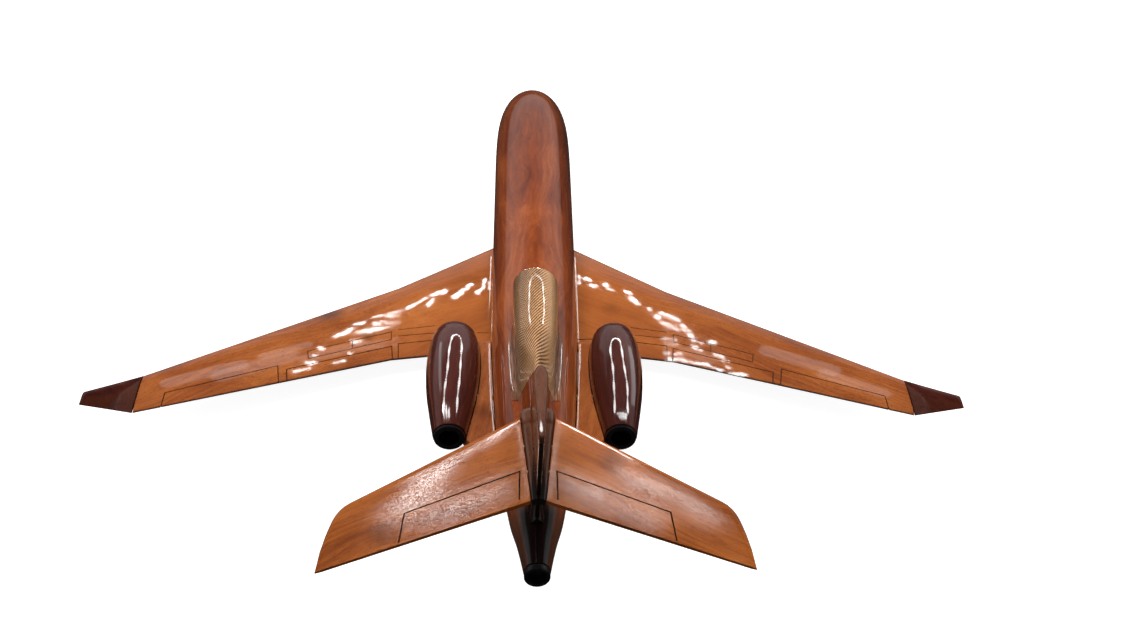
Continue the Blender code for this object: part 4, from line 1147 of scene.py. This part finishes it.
def build_engine(side, hand):
    centre = (side * NAC_X, NAC_Z)
    nacelle = make_nacelle(hand, centre)
    lip = make_intake_lip(hand, centre)
    nozzle = make_nozzle(hand, centre)
    nacelle_space = turned("nacelle_space", [(NAC_FRONT - 3.0, 0.0), (NAC_FRONT - 3.0, 9.6)]
                           + [(y, r + GAP) for y, r in NAC_SKIN]
                           + [(NAC_REAR + 1.8, 6.9), (NAC_REAR + 1.8, 0.0)], centre, soft=0.0)
    pylon = make_pylon(side, hand)
    bore = pylon_bore(side)
    carve(nacelle, bore)
    carve(pylon, FUSELAGE_SPACE, nacelle_space, bore)
    for piece in (pylon, nacelle, lip, nozzle):
        dress(piece)


# ===========================================================================
# centre duct, pedestal, fin, fin cap, outlet
# ===========================================================================
def build_duct():
    r = DUCT_EDGE_R
    rings = []
    for y in [DUCT_FRONT + d for d in (0.0, 0.12, 0.35, 0.7, r)] + \
            spread(DUCT_FRONT + 1.8, DUCT_REAR - 0.3, 1.8) + [DUCT_REAR]:
        d = max(0.0, r - (y - DUCT_FRONT))
        rings.append(duct_ring(y, r - math.sqrt(max(0.0, r * r - d * d)) if d > 0 else 0.0))
    duct = loft("intake_duct_fine", rings)
    mouth = turned("duct_mouth", [
        (DUCT_FRONT - 2.0, 0.0), (DUCT_FRONT - 2.0, DUCT_INTAKE_R + 0.8),
        (DUCT_FRONT, DUCT_INTAKE_R + 0.8), (DUCT_FRONT + 1.2, DUCT_INTAKE_R),
        (DUCT_FRONT + 14.0, DUCT_INTAKE_R - 0.4), (DUCT_FRONT + 14.0, 0.0)],
        (0.0, DUCT_INTAKE_Z), soft=0.0, facets=64)
    carve(duct, FUSELAGE_SPACE, mouth)
    dress(duct)


def build_pedestal():
    pedestal = loft("fin_pedestal_fine", [duct_ring(y) for y in
                                          spread(DUCT_REAR + GAP, DUCT_END, 1.6)])
    carve(pedestal, FUSELAGE_SPACE, FIN_SPACE, FIN_BORE)
    dress(pedestal)


def build_fin():
    fin = loft("fin_fine", [fin_ring(z, z_rear=z_rear) for z, z_rear in fin_foot_levels()]
               + [fin_ring(z) for z in spread(68.0, FIN_CAP_Z - GAP, 3.0)])
    carve(fin, CAP_BORE, FIN_BORE, TAIL_BORE)
    dress(fin)


def build_fin_cap():
    # (height over the cap's foot, inset), then the rounded top
    levels = [(FIN_CAP_Z + rise, inset) for rise, inset in ((0.0, 0.2), (0.15, 0.05), (0.4, 0.0))]
    for k in range(9):
        a = math.radians(90 * k / 8)
        levels.append((FIN_TOP_Z - FIN_CAP_ROUND + FIN_CAP_ROUND * math.sin(a),
                       FIN_CAP_ROUND * (1 - math.cos(a))))
    cap = loft("fin_cap_fine", [fin_ring(z, thick=FIN_CAP_THICK, inset=inset)
                                for z, inset in levels])
    carve(cap, CAP_BORE)
    dress(cap)


def build_outlet():
    dress(turned("tail_outlet_fine", [
        (TAIL_END + GAP, 3.4), (TAIL_END + GAP, 4.75), (TAIL_END + 2.6, 4.7),
        (TAIL_END + 3.0, 4.45), (TAIL_END + 3.0, 3.7), (TAIL_END + 2.7, 3.45),
        (TAIL_END - 1.0, 2.6), (TAIL_END - 1.0, 0.0), (TAIL_END - 4.0, 0.0),
        (TAIL_END - 4.0, 3.4), (TAIL_END + GAP, 3.4)], (0.0, OUTLET_Z), soft=0.25, facets=72))


# ===========================================================================
# tailplane: stabilisers and root blocks
# ===========================================================================
def build_stabiliser(side, hand, spanwise=96, chordwise=40):
    te_line = [(block_side(BLOCK_REAR) + GAP, 230.6),
               (STAB_TE_TIP[0] - 0.1, stab_te(STAB_TE_TIP[0]) - 0.35)]
    verts, faces, top, low = [], [], {}, {}
    for i in range(spanwise + 1):
        u = i / spanwise
        front, rear = along(STAB_LE, u), along(te_line, u ** 0.92)
        for j in range(chordwise + 1):
            # close rows near the nose edge, where the skin turns over
            place = front.lerp(rear, (j / chordwise) ** 2.1)
            if i == 0:
                place.x = block_side(place.y) + GAP
            half = stab_half(place.x, place.y) if j else 0.0
            top[i, j] = low[i, j] = len(verts)
            verts.append(point(side * place.x, place.y, TAILPLANE_Z + half))
            if j:
                low[i, j] = len(verts)
                verts.append(point(side * place.x, place.y, TAILPLANE_Z - half))
    for i in range(spanwise):
        for j in range(chordwise):
            for skin in (top, low):
                quad = (skin[i, j], skin[i + 1, j], skin[i + 1, j + 1], skin[i, j + 1])
                faces.append(quad if skin is top else quad[::-1])
        faces.append((top[i, chordwise], top[i + 1, chordwise],
                      low[i + 1, chordwise], low[i, chordwise]))
    for i in (0, spanwise):
        faces.append(tuple([top[i, j] for j in range(chordwise + 1)]
                           + [low[i, j] for j in range(chordwise, 0, -1)]))
    stab = mesh_from(hand + "_stabiliser_fine", verts, faces)
    carve(stab, TAIL_BORE)
    carve(stab, joined([groove(HINGE, stab_top, side, width=0.72, depth=0.5, step=1.0)]),
          scribed=True)
    dress(stab, angle=42)


BLOCK_STATIONS = [BLOCK_FRONT, 183.46, 183.65, 183.95, 184.4, 185.0, 185.8, 187.0, 188.5, 190.0,
                  190.8, 191.3, 191.7, 192.1, 192.5, 192.9, 193.4] + spread(195.0, BLOCK_REAR, 2.1)
# (station, fraction of the full height)
BLOCK_HEIGHTS = ((190.6, 1.0), (191.6, 0.96), (192.8, 0.74), (200.0, 0.72), (215.0, 0.62),
                 (BLOCK_REAR, 0.42))


def build_root_block(side, hand):
    inner, full_height, squareness = 0.2, 3.6, 0.68
    rings = []
    for y in BLOCK_STATIONS:
        t = min(1.0, (y - BLOCK_FRONT) / 3.6)
        nose = math.sqrt(max(0.0, 1 - (1 - t) ** 2)) * 0.72 + 0.28
        height = full_height * smooth(BLOCK_HEIGHTS, y) * nose
        outer = min(block_side(y), block_side(BLOCK_WIDEST)) * \
            (0.45 + 0.55 * min(1.0, nose * 1.02))
        ring = []
        for k in range(33):
            a = math.radians(90 - 180 * k / 32)
            across = abs(math.cos(a)) ** squareness
            rise = math.copysign(abs(math.sin(a)) ** squareness, math.sin(a))
            ring.append(point(side * (inner + (outer - inner) * across), y,
                              TAILPLANE_Z + height * rise))
        rings.append(ring)
    block = loft(hand + "_root_block_fine", rings)
    carve(block, FIN_SPACE, TAIL_BORE)
    dress(block)


def finish_cad_nodes():
    """Materials for the CAD pieces that stay: dowels, pins, socket and throat plug."""
    for name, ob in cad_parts.items():
        if ob.hide_render:
            continue
        if "dowel" in name:
            finish = MAT["dowel"]
        elif "pin" in name or "socket" in name:
            finish = MAT["brass"]
        else:
            finish = MAT["plug"]
        ob.data.materials.clear()
        ob.data.materials.append(finish)
        for poly in ob.data.polygons:
            poly.material_index = 0
            poly.use_smooth = True
        ob.data.set_sharp_from_angle(angle=math.radians(35))


build_fuselage()
build_belly()
for side, hand in SIDES:
    pin = wing_pin(side)
    build_wing(side, hand, pin)
    build_winglet(side, hand, pin)
for side, hand in SIDES:
    build_engine(side, hand)
build_duct()
build_pedestal()
build_fin()
build_fin_cap()
build_outlet()
for side, hand in SIDES:
    build_stabiliser(side, hand)
    build_root_block(side, hand)
for cutter in USED_CUTTERS:
    bpy.data.objects.remove(cutter)
finish_cad_nodes()

# ===========================================================================
# studio: camera, floor, world and lights, in metres
# ===========================================================================
scene = bpy.context.scene
EYE = Vector((0.009049, 0.536601, 0.411506))
FLOOR_HALF = 12.0


def set_render():
    scene.view_settings.view_transform = "Standard"
    scene.view_settings.look = "None"
    scene.view_settings.exposure = 0.0
    scene.view_settings.gamma = 1.0
    scene.cycles.use_denoising = True
    scene.cycles.max_bounces = 6


def add_camera():
    """Behind and above the model, looking forward and down."""
    pitch, yaw, roll = 0.66200, -0.13582, 0.09312       # radians
    view = Vector((math.sin(yaw) * math.cos(pitch), -math.cos(yaw) * math.cos(pitch),
                   -math.sin(pitch)))
    level = view.cross(Vector((0, 0, 1))).normalized()
    upright = level.cross(view)
    right = level * math.cos(roll) + upright * math.sin(roll)
    up = upright * math.cos(roll) - level * math.sin(roll)
    data = bpy.data.cameras.new("camera")
    data.sensor_width = 36.0
    data.lens = 45.6636106
    data.shift_x = -0.0908053097
    data.shift_y = 0.0130725664
    data.clip_start = 0.01
    camera = bpy.data.objects.new("camera", data)
    camera.matrix_world = Matrix((
        (right.x, up.x, -view.x, EYE.x), (right.y, up.y, -view.y, EYE.y),
        (right.z, up.z, -view.z, EYE.z), (0, 0, 0, 1)))
    scene.collection.objects.link(camera)
    scene.camera = camera


def floor_material():
    """White to the camera, dull as a source of light, and dark in reflections."""
    tree = material_tree("floor_white")
    seen = tree.make("ShaderNodeLightPath", output="Is Camera Ray")
    mirrored = tree.make("ShaderNodeLightPath", output="Is Glossy Ray")
    cloud = tree.noise(tree.coords().scaled((3, 3, 3)), detail=3.0)
    near = tree.ramp(cloud, (0.3, grey(0.47)), (0.7, grey(0.49)))
    unseen = tree.mix(mirrored, (0.17, 0.16, 0.155), (0.02, 0.018, 0.017))
    white = tree.make("ShaderNodeBsdfDiffuse", {"Color": tree.mix(seen, unseen, near)})
    lift = tree.make("ShaderNodeEmission", {"Color": grey(1.0), "Strength": seen * 0.93})
    return tree.show(tree.make("ShaderNodeAddShader", {0: white, 1: lift}))


def add_floor():
    size = FLOOR_HALF
    mesh = bpy.data.meshes.new("floor")
    mesh.from_pydata([(-size, -size, 0), (size, -size, 0), (size, size, 0), (-size, size, 0)],
                     [], [(0, 1, 2, 3)])
    floor = link_object("floor", mesh)
    floor.location = (0, 0, -0.0002)
    mesh.materials.append(floor_material())


def add_world():
    """White to the camera, an even grey for soft light, and for reflections a pale
    band low down ahead of the model under a dark ceiling."""
    world = bpy.data.worlds.new("studio")
    scene.world = world
    tree = Tree(world, "ShaderNodeOutputWorld")
    _, y, z = tree.split(tree.coords("Generated"))
    path = tree.node("ShaderNodeLightPath").outputs
    soft = y.span(0.9, -0.9, low=0.16, high=0.40)
    band = tree.ramp(z, (0.0, grey(0.10)), (0.05, grey(0.45)), (0.20, grey(0.68)),
                     (0.47, grey(0.62)), (0.535, grey(0.34)), (0.562, grey(0.05)),
                     (1.0, grey(0.04)))
    mirror = band * y.span(-0.25, -0.75, low=0.22)
    level = tree.mix_value(Signal(tree, path["Is Glossy Ray"]), soft, mirror)
    level = tree.mix_value(Signal(tree, path["Is Camera Ray"]), level, 1.0)
    tree.show(tree.make("ShaderNodeBackground", {"Strength": level}))


def add_area(name, location, size, power):
    """A square soft light aimed at the model, left out of reflections."""
    data = bpy.data.lights.new(name, "AREA")
    data.shape = "RECTANGLE"
    data.size = size
    data.size_y = size
    data.energy = power
    light = bpy.data.objects.new(name, data)
    light.location = location
    light.rotation_mode = "QUATERNION"
    aim = Vector(location) - Vector((0, 0.05, 0))
    light.rotation_quaternion = aim.to_track_quat("Z", "Y")
    light.visible_glossy = False
    light.visible_camera = False
    scene.collection.objects.link(light)


set_render()
add_camera()
add_floor()
add_world()
add_area("key", (0.10, -0.45, 1.25), size=1.1, power=26.0)
add_area("side_left", (1.3, 0.0, 0.7), size=0.8, power=4.0)
add_area("side_right", (-1.3, 0.0, 0.7), size=0.8, power=4.0)

# ===========================================================================
# Small lamps and soft panels, each seen only as a mirror image in one piece.
# A stroke (x0, y0, x1, y1, width) in working mm says where on the piece the image
# should lie; its outline is mirrored in the skin and carried out to the lamp.
# ===========================================================================
FAR, DUCT_REACH, CAP_REACH, NEAR = 0.35, 0.2, 0.12, 0.05   # metres from skin to lamp
LAMPS = {}


def lamp_material(strength):
    if strength not in LAMPS:
        tree = material_tree(f"lamp_{strength}")
        glow = tree.make("ShaderNodeEmission", {"Strength": strength})
        clear = tree.make("ShaderNodeBsdfTransparent")
        LAMPS[strength] = tree.show(tree.make("ShaderNodeAddShader", {0: glow, 1: clear}))
        LAMPS[strength].cycles.emission_sampling = "NONE"
    return LAMPS[strength]


def mirror_ray(mesh, reach):
    """A function from a plan point to the end of its mirrored view ray, or None."""
    tree = BVHTree.FromPolygons([v.co for v in mesh.vertices],
                                [tuple(p.vertices) for p in mesh.polygons])
    corner_normals = mesh.corner_normals

    def carried(x, y):
        hit, _, k, _ = tree.ray_cast(point(x, y, 150.0), Vector((0, 0, -1)))
        if hit is None:
            return None
        poly = mesh.polygons[k]
        weights = poly_3d_calc([mesh.vertices[i].co for i in poly.vertices], hit)
        normal = Vector((0, 0, 0))
        for weight, corner in zip(weights, poly.loop_indices):
            normal += corner_normals[corner].vector * weight
        normal.normalize()
        view = (hit - EYE).normalized()
        end = hit + (view - normal * (2 * view.dot(normal))) * reach
        return end if end.z > 0.004 else None

    return carried


def heading_of(a, b):
    """The stroke's direction and the direction across it."""
    ahead = (b - a).normalized() if (b - a).length > 1e-6 else Vector((1, 0))
    return ahead, Vector((-ahead.y, ahead.x))


def stroke_outline(x0, y0, x1, y1, width):
    """A stroke with round ends, as 14 plan points."""
    a, b = Vector((x0, y0)), Vector((x1, y1))
    ahead, side = heading_of(a, b)
    outline = []
    for end, start in ((b, -90), (a, 90)):
        for k in range(7):
            angle = math.radians(start + 180 * k / 6)
            outline.append(end + (ahead * math.cos(angle) + side * math.sin(angle)) * width / 2)
    return outline


def mirror_lamps(name, piece, strokes, strength, reach=FAR):
    ob = bpy.data.objects[piece + "_fine"]
    carried = mirror_ray(ob.data, reach)
    verts, faces = [], []
    for stroke in strokes:
        ends = [carried(p.x, p.y) for p in stroke_outline(*stroke)]
        if any(end is None for end in ends):
            continue
        centre = sum(ends, Vector((0, 0, 0))) / len(ends)
        # a stroke over a ridge would spread into a lamp far too large
        if max((end - centre).length for end in ends) > reach * 0.30:
            continue
        base, n = len(verts), len(ends)
        verts += [tuple(end) for end in ends] + [tuple(centre)]
        faces += [(base + i, base + (i + 1) % n, base + n) for i in range(n)]
    mesh = bpy.data.meshes.new(name)
    mesh.from_pydata(verts, [], faces)
    lamp = link_object(name, mesh)
    mesh.materials.append(lamp_material(strength))
    lamp.visible_camera = False
    lamp.visible_diffuse = False
    lamp.visible_shadow = False
    lamp.visible_transmission = False
    lit = bpy.data.collections.new(name + "_lit")
    lit.objects.link(ob)
    lamp.light_linking.receiver_collection = lit


def beads(line, size, gap, wobble=0.0):
    """Short strokes of uneven size along a polyline."""
    strokes = []
    points = [Vector(p) for p in line]
    for a, b in zip(points, points[1:]):
        n = max(1, int(round((b - a).length / (size + gap))))
        for i in range(n):
            k = len(strokes)
            d = (b - a).normalized() * size * 0.28
            side = Vector((-d.y, d.x)).normalized() * (wobble * math.sin(12.9898 * k + 4.1))
            p = a.lerp(b, (i + 0.5) / n) + side
            strokes.append((p.x - d.x, p.y - d.y, p.x + d.x, p.y + d.y,
                            size * (0.85 + 0.3 * math.sin(7.1 * k))))
    return strokes


def runs(line, width, longest=8.0):
    """A polyline as end-to-end strokes, none longer than longest."""
    strokes = []
    for a, b in zip(line, line[1:]):
        a, b = Vector(a), Vector(b)
        n = max(1, math.ceil((b - a).length / longest))
        for i in range(n):
            strokes.append((*a.lerp(b, i / n), *a.lerp(b, (i + 1) / n), width))
    return strokes


def broken(strokes):
    """Each glint as a few uneven specks, set a little off its line."""
    specks = []
    for x0, y0, x1, y1, width in strokes:
        a, b = Vector((x0, y0)), Vector((x1, y1))
        ahead, side = heading_of(a, b)
        n = max(1, math.ceil((b - a).length / (width * 0.95)))
        for i in range(n + 1):
            k = len(specks) + 1
            p = a.lerp(b, i / n) + side * (width * 0.26 * math.sin(12.9898 * k))
            size = width * (0.84 + 0.20 * math.sin(7.13 * k + 1.0))
            q = ahead * size * 0.2 + side * (size * 0.25 * math.sin(3.7 * k))
            specks.append((*(p - q), *(p + q), size * 0.85))
    return specks


def mirrored(side, line):
    return [(side * x, y) for x, y in line]


LEFT_WING_GLINTS = (
    (23, 31, 24, 35, 1.6), (24, 37, 26, 41, 2.4), (20.6, 33, 20.6, 38, 0.6), (30, 35, 36, 45, 3.0),
    (41, 42, 46, 45, 3.0), (46, 48, 48, 52, 1.8), (50, 47, 57, 55, 1.9), (61, 58, 65, 60, 1.6),
    (62, 62, 66, 61, 1.5), (63, 66, 68, 65, 1.8), (68, 61, 72, 63, 1.0), (69, 68, 71, 67, 1.9),
    (76, 67, 80, 68, 1.8), (80, 71, 82, 72, 1.5), (82, 74, 87, 78, 2.2), (66, 70, 78, 73, 2.4),
    (76, 79, 79, 80, 2.0), (91, 86, 93, 86, 2.0), (93, 91, 95, 91, 1.6), (80, 88, 82, 89, 1.7),
    (82, 92, 86, 94, 1.3), (94, 95, 97, 96, 1.8), (96, 99, 102, 101, 1.3))
RIGHT_WING_GLINTS = (
    (-21.6, 27, -21.6, 33, 1.0), (-25, 29, -27, 30, 2.0), (-27, 34, -29, 35, 2.3),
    (-34, 34, -34, 35, 2.0), (-35, 38, -37, 39, 1.4), (-43, 40, -45, 41, 2.0),
    (-46, 45, -49, 49, 2.4), (-54, 53, -54, 54, 1.6), (-57, 59, -57, 59.6, 2.2),
    (-59, 57, -66, 62, 1.8), (-68, 66, -69, 67, 1.8), (-68, 69, -71, 70, 1.5),
    (-71, 73, -71, 73.6, 1.9), (-59, 64, -65, 69, 2.0), (-64, 71, -64, 72, 1.8),
    (-63, 74, -63, 80, 1.1), (-72, 77, -75, 79, 2.0), (-78, 79, -81, 79, 2.3),
    (-72, 81, -75, 83, 1.6), (-81, 86, -84, 88, 2.0), (-65, 85, -64, 85, 1.9),
    (-84, 91, -86, 92, 1.5), (-85, 95, -86, 96, 1.6), (-64, 88, -77, 93, 1.6),
    (-77, 94, -85, 98, 1.4), (-85, 98, -93, 101, 1.6))
# per nacelle: a loop of beads as (x, y), one band stroke, and short lines of specks
NACELLE_LIGHTS = {
    "left": (
        [(36.6, 151), (36.3, 140), (35.6, 125), (35.2, 112), (34.6, 107.2), (33.6, 105.8),
         (32.2, 105.8), (31.2, 107.4), (30.5, 112), (30.4, 123), (30.9, 139), (31.3, 151)],
        (39.2, 110, 38.0, 139, 1.0),
        ([(36.4, 146.5), (36.0, 154)], [(35.2, 147.5), (34.9, 154.5)], [(34.1, 149), (33.9, 154)])),
    "right": (
        [(-31.4, 151), (-31.9, 140), (-31.7, 125), (-31.3, 115), (-31.9, 109.5), (-33.0, 107.6),
         (-34.8, 107.6), (-35.7, 109.5), (-36.0, 116), (-36.8, 129), (-37.3, 139), (-36.8, 151)],
        (-39.6, 112, -39.2, 145, 1.6),
        ([(-32.2, 151.4), (-36.6, 151.8)], [(-33.0, 153.2), (-36.2, 153.4)])),
}
DUCT_LOOP = ((2.5, 124), (2.9, 118), (2.9, 108), (2.4, 97), (1.6, 94), (0.0, 92.8), (-1.6, 94),
             (-2.6, 97), (-3.3, 108), (-3.1, 118), (-2.7, 124))


def light_wings():
    left, right = "left_wing", "right_wing"
    mirror_lamps("lamps_left_wing", left, broken(LEFT_WING_GLINTS), strength=26.0)
    mirror_lamps("lamps_right_wing", right, broken(RIGHT_WING_GLINTS), strength=26.0)
    mirror_lamps("glow_left_wing", left, ((64, 79, 78, 84, 5.0), (82, 85, 98, 93, 5.5)),
                 strength=1.3)
    mirror_lamps("glow_right_wing", right, ((-64, 82, -80, 90, 5.5),), strength=1.1)
    mirror_lamps("streaks_left_wing", left, (
        (104, 92, 132, 107, 7.0), (124, 99, 152, 113, 6.0), (98, 84, 116, 93, 4.0)), strength=1.4)
    mirror_lamps("streaks_right_wing", right, (
        (-104, 86, -132, 101, 7.0), (-128, 103, -152, 117, 6.0)), strength=1.4)


def light_stabilisers():
    left, right = "left_stabiliser", "right_stabiliser"
    for side, hand in SIDES:
        root = [(block_side(y) + 1.2, y) for y in (191.5, 205.0, 218.0, 229.0)]
        hinge = [(7.9, 216.1), (44.6, 235.6)]
        mirror_lamps(f"edge_{hand}_stabiliser", hand + "_stabiliser",
                     runs(mirrored(side, root), width=0.5)
                     + runs(mirrored(side, hinge), width=0.4), strength=17.0, reach=NEAR)
    mirror_lamps("line_left_stabiliser", left,
                 runs([(8.9, 193.0), (18, 201.0), (25, 207.2)], width=0.6),
                 strength=34.0, reach=NEAR)
    mirror_lamps("line_right_stabiliser", right,
                 runs([(-8.9, 192.2), (-18, 199.3), (-27, 206.3), (-33, 211.2)], width=0.6),
                 strength=34.0, reach=NEAR)
    mirror_lamps("sheen_left_stabiliser", left, (
        (9.5, 193.5, 18, 201.5, 0.7), (17, 201.5, 26, 208.5, 2.0), (26, 209, 32, 213.5, 3.6)),
        strength=22.0)
    mirror_lamps("panel_left_stabiliser", left, (
        (32, 215.5, 42, 222, 6.0), (36, 221, 40, 226, 6.0), (35, 227.5, 46, 231, 6.0),
        (43, 234, 50, 238, 6.5), (12.6, 225.2, 18, 228.4, 5.6), (22, 230.5, 28, 234, 6.0),
        (30, 236.5, 40, 240.5, 5.0), (4.8, 221, 5.2, 227, 2.6)), strength=18.0)
    mirror_lamps("sheen_right_stabiliser", right, (
        (-9.5, 192.5, -18, 199.5, 0.7), (-18, 199.5, -27, 206.5, 1.2),
        (-27, 206.5, -35, 213, 2.2)), strength=22.0)
    mirror_lamps("panel_right_stabiliser", right, (
        (-35, 214, -44, 221, 4.5), (-43, 222, -50, 229, 7.5), (-30, 219, -44, 227, 6.0)),
        strength=17.0)
    mirror_lamps("low_right_stabiliser", right, (
        (-50, 231, -58, 240, 7.0), (-9.5, 222.5, -18, 227.5, 6.5), (-20, 229, -40, 240, 7.5),
        (-4.6, 220, -4.8, 227, 2.6)), strength=11.0)


def light_nacelles():
    for _, hand in SIDES:
        loop, band, pool = NACELLE_LIGHTS[hand]
        strokes = beads(loop, size=0.85, gap=0.50, wobble=0.10)
        for line in pool:
            strokes += beads(line, size=0.8, gap=0.35, wobble=0.25)
        mirror_lamps(f"loop_{hand}_nacelle", hand + "_nacelle", strokes, strength=18.0)
        mirror_lamps(f"band_{hand}_nacelle", hand + "_nacelle", (band,), strength=1.6)


def light_duct_and_cap():
    mirror_lamps("loop_duct", "intake_duct", beads(DUCT_LOOP, size=0.62, gap=0.35, wobble=0.1),
                 strength=14.0, reach=DUCT_REACH)
    rim = [(8.6 * math.sin(math.radians(a)), 87.3) for a in range(-60, 61, 12)]
    mirror_lamps("rim_duct", "intake_duct", beads(rim, size=0.45, gap=0.9),
                 strength=26.0, reach=NEAR)
    mirror_lamps("glint_fin_cap", "fin_cap", ((0.05, 243.5, 0.05, 248.0, 0.8),),
                 strength=16.0, reach=CAP_REACH)


def light_root_edges():
    """Thin lines where the pylons and wings meet the fuselage."""
    for side, hand in SIDES:
        root = [(math.sqrt(fus_radius(y) ** 2 - (PYLON_HIGH - fus_centre(y)) ** 2) + 1.0, y)
                for y in (98.0, 110.0, 122.0, 134.0, 146.0, 158.0)]
        mirror_lamps(f"edge_{hand}_pylon", hand + "_pylon",
                     runs(mirrored(side, root), width=0.4), strength=11.0, reach=NEAR)
        mirror_lamps(f"edge_{hand}_wing", hand + "_wing",
                     runs(mirrored(side, [(20.2, 3.0), (20.2, 75.0)]), width=0.35),
                     strength=12.0, reach=NEAR)


light_wings()
light_stabilisers()
light_nacelles()
light_duct_and_cap()
light_root_edges()
